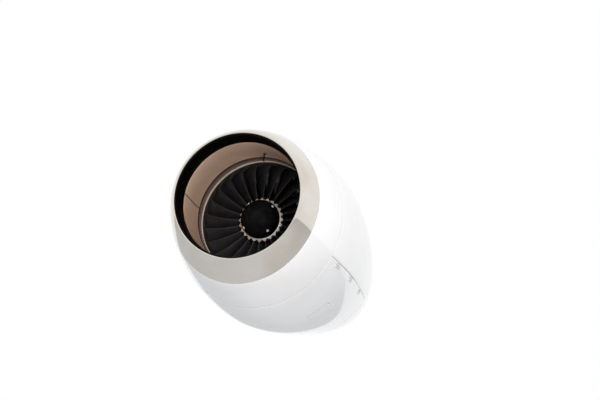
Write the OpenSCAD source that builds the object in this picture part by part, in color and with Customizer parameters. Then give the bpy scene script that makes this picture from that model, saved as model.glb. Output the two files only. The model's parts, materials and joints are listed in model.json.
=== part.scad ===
// Podded turbofan engine with its nacelle, for the side of a fuselage. The engine's axis runs
// along Y with the inlet towards -Y, the mounts towards -X and +Z up. Inside the source every
// y is counted from the lip's foremost line; the origin is the face of the forward mount.

/* [Nacelle] */
// Radius of the lip's foremost line
lip_crest_r = 625; // [615:1:640]
// Largest radius of the nacelle, chin left out
nacelle_max_r = 938; // [920:1:960]
// Distance of the fullest section behind the lip
nacelle_max_y = 1500; // [1450:5:1560]
// Radius of the skin at the nozzle's end
skin_exit_r = 497; // [490:1:506]
// Depth of the chin below the round section
chin_depth = 60; // [40:1:75]
// Thickness of the nacelle's skins
skin_wall = 6; // [4:0.5:8]
// Gap between neighbouring fixed skins
skin_seam = 0.8; // [0.4:0.1:2]
// Gap round the doors
door_gap = 4; // [3:0.5:6]

/* [Inlet] */
// Radius of the inlet's throat
throat_r = 590; // [580:1:596]
// Distance of the throat behind the lip
throat_y = 155; // [140:1:170]
// Length of the polished lip on the outside
lip_outer_y = 250; // [230:1:280]
// Length of the polished lip on the inside
lip_inner_y = 190; // [180:1:210]
// Length from the lip to the fan case
inlet_len = 680; // [660:1:720]
// Thickness of the sound-absorbing barrel
barrel_wall = 28; // [20:1:34]
// Length of the inlet's outer skin past the end of its barrel
skin_past_barrel = 80; // [70:1:95]
// Height of the air probe over the barrel
probe_h = 70; // [50:1:90]

/* [Fan] */
// Number of fan blades
blade_count = 24; // [22:1:26]
// Radius of the blade tips
fan_tip_r = 610; // [604:1:611]
// Gap between the blade tips and the track
tip_gap = 2; // [1:0.5:4]
// Radius of the hub at the blades' front
hub_front_r = 235; // [230:1:242]
// Rise of the hub for each millimetre of length
hub_slope = 0.36; // [0.3:0.01:0.4]
// Chord of the blades at the hub
hub_chord = 185; // [175:1:190]
// Chord of the blades at the tip
tip_chord = 228; // [200:1:236]
// Angle of the hub chord from the engine's axis
hub_stagger = 24; // [20:1:28]
// Angle of the tip chord from the engine's axis
tip_stagger = 61; // [57:1:64]
// Angle that the tips lean back against the turning
tip_lean = 5.5; // [3:0.5:7]
// Thickness of the blades at the hub
hub_thick = 17; // [14:0.5:20]
// Thickness of the blades at the tip
tip_thick = 5; // [4:0.5:7]
// Radius of the fan disc's rim
disc_rim_r = 200; // [196:1:204]
// Radius of the spinner's base
spinner_r = 203; // [198:1:208]
// Length of the spinner's dome
spinner_len = 188; // [160:1:220]
// Thickness of the spinner's shell
spinner_wall = 4; // [3:0.5:6]
// Length of the fan case
fan_case_len = 500; // [490:1:540]
// Thickness of the fan case
case_wall = 10; // [8:0.5:14]
// Thickness of the linings inside the fan case
liner_wall = 16; // [12:0.5:20]

/* [Core] */
// Length of the intermediate case
inter_len = 300; // [290:1:330]
// Number of outlet guide vanes
guide_vane_count = 36; // [30:1:40]
// Number of struts in the intermediate case
strut_count = 8; // [8:4:8]
// Thickness of the struts
strut_thick = 44; // [40:1:50]
// Length of the compressor
compressor_len = 600; // [580:1:640]
// Number of compressor stages
stage_count = 5; // [4:1:5]
// Blades in each compressor stage
stage_blades = 18; // [14:1:20]
// Radius of the compressor's case, inside
compressor_r = 245; // [243:1:248]
// Length of the combustor
combustor_len = 320; // [310:1:350]
// Radius of the combustor's case
combustor_r = 306; // [300:1:312]
// Number of fuel nozzles
nozzle_count = 12; // [10:1:16]
// Length of the turbines
turbine_len = 500; // [490:1:530]
// Length of the exhaust frame
exhaust_frame_len = 150; // [140:1:180]
// Length of the lobed mixer
mixer_len = 300; // [280:1:330]
// Number of lobes
lobe_count = 10; // [9:1:12]
// Depth of the lobes
lobe_depth = 92; // [70:1:100]
// Thickness of the mixer's sheet
mixer_wall = 4; // [3:0.5:5]
// Radius of the low-pressure shaft
low_shaft_r = 45; // [42:1:47]
// Radius of the high-pressure shaft's bore
core_bore_r = 52; // [50:1:54]
// Thickness of the bypass duct
duct_wall = 5; // [4:0.5:7]

/* [Reverser] */
// Length of the reverser's doors
reverser_len = 900; // [860:5:930]
// Radius of the nozzle at its end
nozzle_r = 484; // [474:1:486]
// Distance of the pivots in front of the nozzle's end
pivot_back = 250; // [240:1:260]
// Height of the pivots over the engine's axis
pivot_z = 55; // [52:1:58]
// Depth of the pivots under the skin
pivot_depth = 37; // [33:1:42]
// Radius of the pivot pins
pivot_pin_r = 14; // [12:1:16]

/* [Mounts] */
// Distance of the mounting faces from the engine's axis
mount_reach = 985; // [975:1:1000]
// Distance of the forward mount behind the fan case
front_mount_back = 150; // [140:1:160]
// Distance between the two mounts
mount_spacing = 1370; // [1320:5:1420]
// Spacing of the mount's bolts along the engine
mount_pitch_y = 180; // [160:1:190]
// Spacing of the mount's bolts up and down
mount_pitch_z = 240; // [220:1:260]
// Radius of the mount's bolt holes
mount_hole_r = 9; // [7:0.5:11]

/* [Cowl doors] */
// Height of the doors' hinge lines over and under the engine's axis
hinge_z = 400; // [380:1:420]
// Distance of the hinge pins outside the fullest skin
hinge_out = 20; // [19:1:26]
// Radius of the hinge pins
hinge_pin_r = 7; // [6:0.5:8]
// Angle of the doors' split line, from outboard and upwards
split_a = -20; // [-24:1:-16]
// Length of a latch handle
latch_len = 110; // [90:1:130]
// Width of a latch handle
latch_w = 36; // [30:1:40]
// Angle that the oil door covers
oil_door_a = 16; // [12:1:18]
// Length of the oil door
oil_door_len = 240; // [200:1:260]

/* [Hidden] */

$fn = 96;
round_fn = 32;
// clearances
seat = 0.3;
rim_gap = 1.4;
running = 0.05;
// stations counted from the lip
case_end = inlet_len + fan_case_len;
inter_end = case_end + inter_len;
compressor_end = inter_end + compressor_len;
combustor_end = compressor_end + combustor_len;
turbine_end = combustor_end + turbine_len;
frame_end = turbine_end + exhaust_frame_len;
duct_end = frame_end + mixer_len;
nacelle_len = duct_end + reverser_len;
// skins
ring_steps = 48;
fore_power = 1.7;
fore_round = 0.7;
aft_power = 1.7;
chin_start = 300;
chin_fade = 1500;
land_len = 40;
land_gap = 3.4;
land_inset = skin_wall + land_gap;
inlet_skin_end = inlet_len + skin_past_barrel;
door_front = inlet_skin_end + door_gap;
aft_skin_y = turbine_end + 50;
door_rear = aft_skin_y - door_gap;
door_steps = 10;
// fan
blade_mid_hub = inlet_len + 260;
blade_mid_tip = inlet_len + 215;
blade_span_steps = 6;
blade_us = [0.08, 0.3, 0.6, 0.86];
hub_y0 = blade_mid_hub - hub_chord / 2 * cos(hub_stagger);
hub_y1 = blade_mid_hub + hub_chord / 2 * cos(hub_stagger);
blade_pitch = 360 / blade_count;
filler_gap = 0.9;
filler_wall = 8;
block_h = 14;
block_w = 34;
block_len = 140;
dove_top = 15;
dove_base = 25;
dove_h = 22;
disc_y0 = hub_y0 + 8;
disc_y1 = disc_y0 + 148;
spinner_base_y = hub_y0 - 18;
// flanges and bolts
flange_h = 46;
flange_w = 14;
flange_low = 22;
flange_bolts = 24;
flange_bolt_r = 6;
track_r = fan_tip_r + tip_gap;
duct_r = track_r;
case_r = track_r + liner_wall;
flange_pcd_r = case_r + 31;
// core
splitter_y = case_end - 75;
splitter_r = 362;
mid_ring_r = 376;
strut_y = case_end + 210;
strut_root_r = 165;
tower_y = strut_y;
tower_r = 12;
front_bearing_y = case_end - 50;
bearing_r = 60;
bearing_wall = 35;
core_stub_r = 80;
core_bearing_y = inter_end - 29;
core_bearing_len = 24;
drum_front_r = 165;
drum_rear_r = 215;
core_row_pitch = (compressor_len - 100) / 5;
core_hub_r = 190;
core_tip_r = 262;
low_hub_r = 200;
low_tip_r = 312;
turbine_wall = 6;
frame_r = 331;
rear_bearing_y = turbine_end + 60;
rear_journal_r = 50;
// hinges and latches
hinge_x = -(sqrt(nacelle_max_r * nacelle_max_r - hinge_z * hinge_z) + hinge_out);
hinge_ys = [inlet_skin_end + 390, nacelle_max_y, nacelle_max_y + 400];
hinge_lug_r = 13;
hinge_lug_w = 14;
hinge_ear_w = 10;
hinge_side_gap = 0.5;
arm_w = 10;
arm_past = 6;
latch_ys = [inlet_skin_end + 240, nacelle_max_y, nacelle_max_y + 700];
latch_a = split_a - 0.4;
latch_wall = 5;
latch_pin_r = 2.2;
oil_y = nacelle_max_y + 20;
oil_a = -50;
oil_wall = 5;
oil_pin_x = 5;
lug_w = 5;
lug_root = 5.8;
lug_past_pin = 5;
// accessories and mounts
front_mount_y = case_end + front_mount_back;
aft_mount_y = front_mount_y + mount_spacing;
rib_h = 12;
gearbox_r = case_r + flange_h + 4;
gearbox_y0 = case_end + 70;
gearbox_y1 = case_end + 220;
accessory_r = gearbox_r + 80;
pad_t = 30;
// reverser
pivot_y = nacelle_len - pivot_back;
pivot_reach = round_r(pivot_y) - pivot_depth;
pivot_disc_r = 40;
pivot_clear_r = 43;
pivot_tongue_w = 26;
beam_z = pivot_z - 5;
reverser_gap = 4;
fish_a = atan((skin_exit_r - pivot_z) / pivot_back);

// Form of the nacelle
function smooth(t) = let (c = max(0, min(1, t))) c * c * (3 - 2 * c);
function mix(a, b, t) = a + (b - a) * t;
function turbine_y(share) = mix(combustor_end, turbine_end, share);
function fore(y) = pow(1 - pow(1 - max(0, y) / nacelle_max_y, fore_power), fore_round);
function aft(y) = pow((y - nacelle_max_y) / (nacelle_len - nacelle_max_y), aft_power);
function round_r(y) = y <= nacelle_max_y
    ? lip_crest_r + (nacelle_max_r - lip_crest_r) * fore(y)
    : nacelle_max_r - (nacelle_max_r - skin_exit_r) * aft(y);
function chin(y, a) = chin_depth * smooth(y / chin_start)
    * (1 - smooth((y - nacelle_max_y) / chin_fade)) * pow(max(0, -sin(a)), 3);
function skin_r(y, a) = round_r(y) + chin(y, a);
function skin_tilt(y, a) = atan((skin_r(y + 1, a) - skin_r(y - 1, a)) / 2);
function inlet_r(y) = y <= throat_y
    ? lip_crest_r - (lip_crest_r - throat_r) * sqrt(1 - pow(1 - y / throat_y, 2))
    : throat_r + (track_r + 6 - throat_r) * smooth((y - throat_y) / (inlet_len - throat_y));
function nozzle_skin_r(y) = let (t = (y - duct_end) / reverser_len)
    nozzle_r + (duct_r - 12 - nozzle_r) * pow(1 - t, 2);
function at(r, y, a) = [r * cos(a), y, r * sin(a)];

// Closed body between an outer and an inner grid of points. A row follows the section and the
// rows go round the axis. Both grids are split along the same diagonals, so that the wall between
// them stays even.
module skin(outer, inner, around) {
    n = len(outer);
    m = len(outer[0]);
    last = around ? n - 1 : n - 2;
    function id(i, j) = (i % n) * m + j;
    function quad(a, b, c, d) = [[a, b, c], [a, c, d]];
    points = concat([for (row = outer) each row], [for (row = inner) each row]);
    walls = [
        for (i = [0:last], j = [0:m - 2])
            each quad(id(i, j), id(i + 1, j), id(i + 1, j + 1), id(i, j + 1)),
        for (i = [0:last], j = [0:m - 2])
            each quad(id(i + 1, j + 1) + n * m, id(i + 1, j) + n * m, id(i, j) + n * m,
                id(i, j + 1) + n * m)
    ];
    ends = [
        for (i = [0:last])
            each quad(id(i + 1, 0), id(i, 0), id(i, 0) + n * m, id(i + 1, 0) + n * m),
        for (i = [0:last])
            each quad(id(i, m - 1), id(i + 1, m - 1), id(i + 1, m - 1) + n * m, id(i, m - 1) + n * m)
    ];
    sides = around ? [] : [
        for (j = [0:m - 2])
            each quad(id(0, j), id(0, j + 1), id(0, j + 1) + n * m, id(0, j) + n * m),
        for (j = [0:m - 2])
            each quad(id(n - 1, j + 1), id(n - 1, j), id(n - 1, j) + n * m, id(n - 1, j + 1) + n * m)
    ];
    polyhedron(points = points, faces = concat(walls, ends, sides), convexity = 8);
}

// Closed body through loops of points, each loop an airfoil that starts at its leading edge
module airfoil_loft(loops) {
    n = len(loops);
    m = len(loops[0]);
    half = m / 2;
    function id(i, j) = i * m + (j % m);
    points = [for (loop = loops) each loop];
    walls = [for (i = [0:n - 2], j = [0:m - 1])
        each [[id(i, j), id(i, j + 1), id(i + 1, j + 1)], [id(i, j), id(i + 1, j + 1), id(i + 1, j)]]];
    function cap(i) = [for (k = [0:half - 1])
        each (k == 0 ? [[id(i, 0), id(i, m - 1), id(i, 1)]]
            : k == half - 1 ? [[id(i, half - 1), id(i, half + 1), id(i, half)]]
            : [[id(i, k), id(i, m - k), id(i, k + 1)], [id(i, k + 1), id(i, m - k), id(i, m - k - 1)]])];
    first = cap(0);
    end = [for (f = cap(n - 1)) [f[0], f[2], f[1]]];
    polyhedron(points = points, faces = concat(walls, first, end), convexity = 4);
}

// Airfoil outline of [across, along] points: leading edge, convex side, trailing edge, hollow side
function foil_point(u, side, chord, stagger, bow, thick) =
    let (rise = 4 * u * (1 - u), along = (u - 0.5) * chord,
        off = bow * rise + side * thick / 2 * pow(rise, 0.6))
    [along * sin(stagger) + off * cos(stagger), along * cos(stagger) - off * sin(stagger)];
function foil(chord, stagger, bow, thick, us) = concat(
    [foil_point(0, 0, chord, stagger, bow, thick)],
    [for (u = us) foil_point(u, 1, chord, stagger, bow, thick)],
    [foil_point(1, 0, chord, stagger, bow, thick)],
    [for (k = [len(us) - 1:-1:0]) foil_point(us[k], -1, chord, stagger, bow, thick)]
);

// Placing
module origin_at_mount() {
    translate([mount_reach, -front_mount_y, 0]) children();
}
module about_axis() {
    rotate([-90, 0, 0]) children();
}
module turned() {
    about_axis() rotate_extrude() children();
}
module turned_part(a0, a1) {
    about_axis() rotate([0, 0, -a1]) rotate_extrude(angle = a1 - a0) children();
}
module at_angle(a) {
    rotate([0, -a, 0]) children();
}
module around(count) {
    for (i = [0:count - 1]) at_angle(i * 360 / count) children();
}
module radial_rod(r0, r1, r) {
    translate([r0, 0, 0]) rotate([0, 90, 0]) cylinder(h = r1 - r0, r = r);
}
module axial_rod(y0, y1, r) {
    translate([0, y0, 0]) about_axis() cylinder(h = y1 - y0, r = r);
}
// Straight vane that stands on the axis of X
module vane(r0, r1, y, chord, stagger, bow, thick) {
    translate([r0, y, 0]) rotate([0, 90, 0]) linear_extrude(r1 - r0)
        polygon([for (p = foil(chord, stagger, bow, thick, [0.3, 0.7])) [-p[0], p[1]]]);
}
module bolt(y0, y1, r) {
    axial_rod(y0, y1, r);
    translate([0, y0 - r, 0]) about_axis() cylinder(h = r, r = r * 1.7, $fn = 6);
    translate([0, y1, 0]) about_axis() cylinder(h = r, r = r * 1.7, $fn = 6);
}
module flange_holes(y) {
    around(flange_bolts) translate([flange_pcd_r, 0, 0])
        axial_rod(y - flange_w - 1, y + flange_w + 1, flange_bolt_r + seat);
}

// Inlet
module nose_lip() {
    angles = [for (i = [0:ring_steps - 1]) i * 360 / ring_steps];
    function section(a) = concat(
        [[inlet_r(lip_inner_y), lip_inner_y]],
        [for (k = [3:-1:1]) let (y = throat_y * pow(k / 3, 1.5)) [inlet_r(y), y]],
        [[lip_crest_r, 0]],
        [for (k = [4:-1:0]) let (y = lip_outer_y * pow(1 - k / 5, 2)) [skin_r(y, a), y]]
    );
    function inward(s, k) = k == 0 ? [1, 0] : k == len(s) - 1 ? [-1, 0]
        : let (t = s[k + 1] - s[k - 1]) [-t[1], t[0]] / norm(t);
    function inset(s) = [for (k = [0:len(s) - 1]) s[k] + inward(s, k) * skin_wall];
    outer = [for (a = angles) [for (p = section(a)) at(p[0], p[1], a)]];
    inner = [for (a = angles) [for (p = inset(section(a))) at(p[0], p[1], a)]];
    color("silver") skin(outer, inner, true);
}
module skin_plate(y, thick, r_in) {
    rim = [for (i = [0:ring_steps - 1]) let (a = i * 360 / ring_steps,
        r = min(skin_r(y, a), skin_r(y + thick, a)) - skin_wall - rim_gap)
        [r * cos(a), -r * sin(a)]];
    translate([0, y, 0]) about_axis() linear_extrude(thick) difference() {
        polygon(rim);
        circle(r = r_in);
    }
}
module inlet_front_bulkhead() {
    color("darkkhaki") skin_plate(lip_outer_y - 8, 6, inlet_r(lip_outer_y) + barrel_wall + seat);
}
// Full ring of skin. Each station is [y outside, inset outside, y inside, inset inside].
module skin_ring(stations) {
    angles = [for (i = [0:ring_steps - 1]) i * 360 / ring_steps];
    outer = [for (a = angles) [for (s = stations) at(skin_r(s[0], a) - s[1], s[0], a)]];
    inner = [for (a = angles) [for (s = stations) at(skin_r(s[2], a) - s[3], s[2], a)]];
    skin(outer, inner, true);
}
module inlet_outer_barrel() {
    y0 = lip_outer_y + skin_seam;
    steps = 3;
    plain = [for (k = [0:steps]) let (y = mix(y0, inlet_skin_end, k / steps),
        yi = k == steps ? y - skin_wall : y) [y, 0, yi, skin_wall]];
    land = [for (y = [inlet_skin_end, inlet_skin_end + land_len])
        [y, land_inset, y == inlet_skin_end ? y - skin_wall : y, land_inset + skin_wall]];
    color("white") skin_ring(concat(plain, land));
}
module inlet_inner_barrel() {
    steps = 6;
    y0 = lip_inner_y + skin_seam;
    bore = [for (k = [0:steps]) let (y = mix(y0, inlet_len, k / steps)) [inlet_r(y), y]];
    back = [for (k = [steps - 1:-1:0]) let (y = mix(y0, inlet_len - flange_w,
        k / steps)) [inlet_r(y) + barrel_wall, y]];
    color("rosybrown") difference() {
        turned() polygon(concat(bore, [
            [case_r + flange_h, inlet_len],
            [case_r + flange_h, inlet_len - flange_w],
            [inlet_r(inlet_len - flange_w) + barrel_wall, inlet_len - flange_w]
        ], back));
        flange_holes(inlet_len);
    }
}
module inlet_rear_bulkhead() {
    color("darkkhaki") skin_plate(inlet_skin_end - 30, 8, case_r + case_wall + seat);
}
module inlet_flange_bolts() {
    color("gray") around(flange_bolts) translate([flange_pcd_r, 0, 0])
        bolt(inlet_len - flange_w - seat, inlet_len + flange_w + seat, flange_bolt_r);
}
module inlet_probe() {
    y = inlet_len - 120;
    foot_r = inlet_r(y - 28) - 0.6;
    color("dimgray") at_angle(90) {
        vane(foot_r - probe_h, foot_r - 2, y, 34, 0, 0, 9);
        translate([foot_r - 3, y - 28, -11]) cube([3, 56, 22]);
        translate([foot_r - probe_h - 5, y, 0]) axial_rod(-30, 26, 6);
    }
}

// Fan
module fan_case() {
    color("lightsteelblue") difference() {
        turned() {
            polygon([
                [case_r, inlet_len], [case_r + flange_h, inlet_len],
                [case_r + flange_h, inlet_len + flange_w], [case_r + case_wall, inlet_len + flange_w],
                [case_r + case_wall, case_end - flange_w], [case_r + flange_low, case_end - flange_w],
                [case_r + flange_low, case_end], [case_r, case_end]
            ]);
            for (k = [1:3]) translate([case_r + 1, inlet_len + k * fan_case_len / 4 - 6])
                square([case_wall + rib_h - 1, 12]);
        }
        flange_holes(inlet_len);
    }
}
module lining(y0, y1, r) {
    turned() translate([r, y0]) square([case_r - seat - r, y1 - y0]);
}
module front_acoustic_panel() {
    color("rosybrown") lining(inlet_len + seat, hub_y0 - 95, track_r + 4);
}
module fan_track() {
    color("tan") lining(hub_y0 - 94, hub_y1 + 8, track_r);
}
module rear_acoustic_panel() {
    color("rosybrown") lining(hub_y1 + 9, case_end - seat, track_r);
}
module spinner() {
    function dome(r, len, steps) = [for (k = [0:steps]) let (u = 90 * k / steps) [r * sin(u),
        spinner_base_y - len * cos(u)]];
    outside = dome(spinner_r, spinner_len, 14);
    inside = dome(spinner_r - spinner_wall, spinner_len - spinner_wall, 14);
    color("black") turned() polygon(concat(outside, [for (k = [14:-1:0]) inside[k]]));
}
module spinner_ring() {
    front = spinner_base_y + seat;
    rear = hub_y0 - seat;
    rib = 6;
    color("gainsboro") turned() polygon([
        [spinner_r - 30, front], [spinner_r, front], [hub_front_r - 1, rear - 4], [hub_front_r - 1, rear],
        [spinner_r - 30 + rib, rear], [spinner_r - 30 + rib, disc_y0 - seat],
        [spinner_r - 30, disc_y0 - seat]
    ]);
}
function hub_r(y) = hub_front_r + (y - hub_y0) * hub_slope;
function blade_chord(s) = mix(hub_chord, tip_chord, s);
function blade_stagger(s) = mix(hub_stagger, tip_stagger, s);
function blade_foil(s) = foil(blade_chord(s), blade_stagger(s), blade_chord(s) * mix(0.075, 0.02, s),
    mix(hub_thick, tip_thick, s), blade_us);
function blade_loop(s) = [for (p = blade_foil(s))
    let (
        y = mix(blade_mid_hub, blade_mid_tip, smooth(s)) + p[1],
        base = hub_r(y),
        r = mix(base, fan_tip_r, s),
        a = p[0] / r * 180 / PI - tip_lean * s * s
    ) at(r, y, a)];
function neck_loop() = [for (p = blade_foil(0))
    let (y = blade_mid_hub + p[1], a = p[0] / hub_r(y) * 180 / PI) at(disc_rim_r + block_h - 1, y, a)];
// Slanted dovetail along the blade's root chord, grown by a clearance
module dovetail(grow, length) {
    translate([0, disc_y0 + 74, 0]) rotate([hub_stagger, 0, 0]) translate([disc_rim_r, 0, 0])
        rotate([90, 0, 0]) translate([0, 0, -length / 2]) linear_extrude(length) polygon([
            [2 + block_h / 4, dove_top / 2 + grow], [2 + block_h / 4, -dove_top / 2 - grow],
            [-4, -dove_top / 2 - grow],
            [-dove_h + 6, -dove_base / 2 - grow], [-dove_h - grow, -dove_base / 2 - grow],
            [-dove_h - grow, dove_base / 2 + grow], [-dove_h + 6, dove_base / 2 + grow],
            [-4, dove_top / 2 + grow]
        ]);
}
module fan_blade() {
    airfoil_loft(concat([neck_loop()], [for (k = [0:blade_span_steps]) blade_loop(k / blade_span_steps)]));
    translate([0, disc_y0 + 74, 0]) rotate([hub_stagger, 0, 0])
        translate([disc_rim_r + seat, -block_len / 2, -block_w / 2]) cube([block_h, block_len, block_w]);
    dovetail(0, block_len);
}
module fan_blades() {
    color([0.09, 0.09, 0.10]) around(blade_count) fan_blade();
}
// Platform between one blade's convex side and the next blade's hollow side
module annulus_filler() {
    low = [for (k = [0:5]) blade_foil(0)[k]];
    high = [for (k = [0:5]) blade_foil(0)[(10 - k) % 10]];
    function turn(p) = p[0] / hub_r(blade_mid_hub + p[1]) * 180 / PI;
    function gap_a(y) = filler_gap / hub_r(y) * 180 / PI;
    function edge(drop) = [for (k = [0:5])
        let (ya = blade_mid_hub + low[k][1], yb = blade_mid_hub + high[k][1])
        [at(hub_r(ya) - drop, ya, turn(low[k]) + gap_a(ya)),
            at(hub_r(yb) - drop, yb, blade_pitch + turn(high[k]) - gap_a(yb))]];
    function rows(drop) = [for (side = [0, 1]) [for (k = [0:5]) edge(drop)[k][side]]];
    skin(rows(0), rows(filler_wall), false);
    at_angle(blade_pitch / 2) translate([0, disc_y0 + 74, 0]) rotate([hub_stagger, 0, 0])
        translate([disc_rim_r + 1.5, -40, -2.5])
            cube([hub_r(disc_y0 + 35) - filler_wall / 2 - disc_rim_r - 2, 80, 5]);
}
module annulus_fillers() {
    color("gainsboro") around(blade_count) annulus_filler();
}
module fan_disc() {
    web_y = mix(disc_y0, disc_y1, 0.5);
    bore_r = 70;
    color("slategray") difference() {
        turned() polygon([
            [bore_r, web_y - 55], [bore_r + 30, web_y - 50], [bore_r + 45, web_y - 14],
            [disc_rim_r - 50, web_y - 10],
            [disc_rim_r - 38, disc_y0 + 4], [disc_rim_r - 38, disc_y0], [disc_rim_r, disc_y0],
            [disc_rim_r, disc_y1],
            [disc_rim_r - 38, disc_y1], [disc_rim_r - 38, disc_y1 - 4], [disc_rim_r - 50, web_y + 10],
            [bore_r + 45, web_y + 14], [bore_r + 45, web_y + 70], [bore_r, web_y + 70]
        ]);
        around(blade_count) dovetail(seat, block_len + 40);
    }
}
module low_shaft() {
    web_y = mix(disc_y0, disc_y1, 0.5);
    front = web_y + 70;
    bore = 28;
    color("silver") turned() polygon([
        [bore, front], [115, front], [115, front + 14], [bearing_r + 12, front + 20],
        [bearing_r, front_bearing_y - 30], [bearing_r, front_bearing_y + 50],
        [low_shaft_r, front_bearing_y + 70],
        [low_shaft_r, rear_bearing_y - 20], [rear_journal_r, rear_bearing_y - 10],
        [rear_journal_r, rear_bearing_y + 60],
        [bore, rear_bearing_y + 60]
    ]);
}
module bearing(y, length, r, wall) {
    turned() translate([r + running, y]) square([wall - running, length]);
}
module main_bearings() {
    color("darkgray") {
        bearing(front_bearing_y, 40, bearing_r, bearing_wall);
        bearing(core_bearing_y, core_bearing_len, core_stub_r, 30);
        bearing(combustor_end - 60, 30, core_stub_r, 30);
        bearing(rear_bearing_y, 50, rear_journal_r, 30);
    }
}
module outlet_guide_vanes() {
    color("lightgray") around(guide_vane_count)
        vane(mid_ring_r + seat, track_r - 2 * seat, case_end + 75, 100, -10, -5, 9);
}
module flow_splitter() {
    color("silver") turned() polygon([
        [splitter_r, splitter_y], [splitter_r + 5, splitter_y + 12], [mid_ring_r, case_end - seat],
        [splitter_r - 12, case_end - seat], [splitter_r - 4, splitter_y + 12]
    ]);
}

// Core
function hub_line() = [[302, hub_y1 + 10], [298, hub_y1 + 70], [255, case_end + 60], [188, tower_y],
    [drum_front_r - 2, inter_end]];
module intermediate_case() {
    w = 8;
    line = hub_line();
    bearing_out = bearing_r + bearing_wall + running;
    color("lightsteelblue") difference() {
        union() {
            turned() {
                polygon([
                    [track_r, case_end], [case_r + flange_low, case_end],
                    [case_r + flange_low, case_end + flange_w],
                    [track_r + 14, case_end + flange_w], [track_r + 14, inter_end - flange_w],
                    [case_r + flange_low, inter_end - flange_w], [case_r + flange_low, inter_end],
                    [track_r, inter_end]
                ]);
                polygon([
                    [splitter_r - 12, case_end], [mid_ring_r, case_end], [mid_ring_r, case_end + 140],
                    [mid_ring_r + 16, inter_end],
                    [mid_ring_r + 16 - w, inter_end], [mid_ring_r - w, case_end + 144],
                    [mid_ring_r - w, case_end + 40],
                    [splitter_r - 20, case_end + 40], [275 + w, case_end + 170],
                    [compressor_r + w, inter_end],
                    [compressor_r, inter_end], [275, case_end + 170], [splitter_r - 16, case_end + 20]
                ]);
                polygon(concat(line, [for (k = [4:-1:0]) [line[k][0] - w, line[k][1]]]));
                polygon([
                    [bearing_out, front_bearing_y], [bearing_out + 8, front_bearing_y],
                    [bearing_out + 8, case_end + 96],
                    [230, case_end + 96], [230, case_end + 104], [bearing_out, case_end + 104]
                ]);
                polygon([
                    [core_stub_r + 30, core_bearing_y], [core_stub_r + 38, core_bearing_y],
                    [core_stub_r + 38, inter_end - 14],
                    [drum_front_r - 6, inter_end - 14], [drum_front_r - 6, inter_end - 5],
                    [core_stub_r + 30, inter_end - 5]
                ]);
            }
            around(strut_count) vane(strut_root_r, track_r + 6, strut_y, 130, 0, 0, strut_thick);
        }
        at_angle(-90) translate([0, tower_y, 0]) radial_rod(strut_root_r - 30, track_r + 30, tower_r + 3);
    }
}
// Row of equal blades or vanes round the axis
module row(count, r0, r1, y, chord, stagger, bow, thick) {
    around(count) vane(r0, r1, y, chord, stagger, bow, thick);
}
module compressor_case() {
    w = 8;
    color("steelblue") {
        turned() polygon([
            [compressor_r, inter_end], [compressor_r + 40, inter_end], [compressor_r + 40, inter_end + 10],
            [compressor_r + w, inter_end + 10], [compressor_r + w, compressor_end - 10],
            [combustor_r + 20, compressor_end - 10],
            [combustor_r + 20, compressor_end], [compressor_r, compressor_end]
        ]);
        for (k = [0:stage_count - 1]) let (y = inter_end + 90 + k * core_row_pitch)
            row(stage_blades, drum_r(y + 14) + 2.5, compressor_r + 3, y, 26, 30, 2, 4);
    }
}
function drum_r(y) = mix(drum_front_r, drum_rear_r, (y - inter_end) / compressor_len);
module compressor_rotor() {
    w = 14;
    y0 = inter_end + 4;
    y1 = compressor_end - 20;
    bevel_tip = 100;
    bevel_y = tower_y + bevel_tip / 2 + 0.6;
    color("slategray") {
        turned() polygon([
            [core_bore_r, bevel_y - 6], [bevel_tip - 22, bevel_y - 9], [bevel_tip, bevel_y + 2],
            [bevel_tip, bevel_y + 8],
            [core_stub_r, bevel_y + 8 - 4], [core_stub_r, y0], [drum_front_r - 10, y0 + 10],
            [drum_r(y0 + 14), y0 + 14], [drum_r(y1), y1],
            [drum_r(y1) - w, y1], [drum_r(y1) - w - 20, y1 - 10], [118, compressor_end],
            [118, compressor_end + 10],
            [core_stub_r + 2, compressor_end + 10], [core_stub_r + 2, compressor_end],
            [drum_r(y1) - w - 20, y1 - 26],
            [drum_r(y1) - w, y1 - 30], [drum_front_r - w + 2, y0 + 30], [core_stub_r + 10, y0 + 12],
            [core_bore_r, y0 + 12]
        ]);
        for (k = [0:stage_count - 1]) let (y = inter_end + 45 + k * core_row_pitch)
            row(stage_blades, drum_r(y) - 8, compressor_r - 1.5, y, 34, -38, -2, 4);
    }
}
module combustor_case() {
    w = 6;
    inner_r = 132;
    color("peru") difference() {
        union() {
            turned() {
                polygon([
                    [compressor_r, compressor_end], [combustor_r + 20, compressor_end],
                    [combustor_r + 20, compressor_end + 8],
                    [combustor_r, compressor_end + 8], [combustor_r, combustor_end - 8],
                    [combustor_r + 20, combustor_end - 8],
                    [combustor_r + 20, combustor_end], [combustor_r - w, combustor_end],
                    [combustor_r - w, compressor_end + 8],
                    [compressor_r, compressor_end + 8]
                ]);
                polygon([
                    [inner_r, compressor_end + 14], [drum_rear_r, compressor_end],
                    [drum_rear_r, compressor_end + 8],
                    [inner_r + w, compressor_end + 20], [inner_r + w, combustor_end - 30],
                    [inner_r, combustor_end - 30],
                    [inner_r, combustor_end - 30], [core_stub_r + 30, combustor_end - 30],
                    [core_stub_r + 30, combustor_end - 60],
                    [inner_r, combustor_end - 60]
                ]);
            }
            row(8, drum_rear_r - 4, compressor_r + 4, compressor_end + 4, 7, 0, 0, 4);
        }
        around(nozzle_count) translate([0, compressor_end + 40, 0])
            radial_rod(combustor_r - 20, combustor_r + 20, 8 + seat);
        for (a = igniter_angles()) at_angle(a) translate([0, compressor_end + 110, 0])
            radial_rod(combustor_r - 20, combustor_r + 20, 9 + seat);
    }
}
function igniter_angles() = [-135, -45];
function liner_y() = compressor_end + 60;
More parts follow.
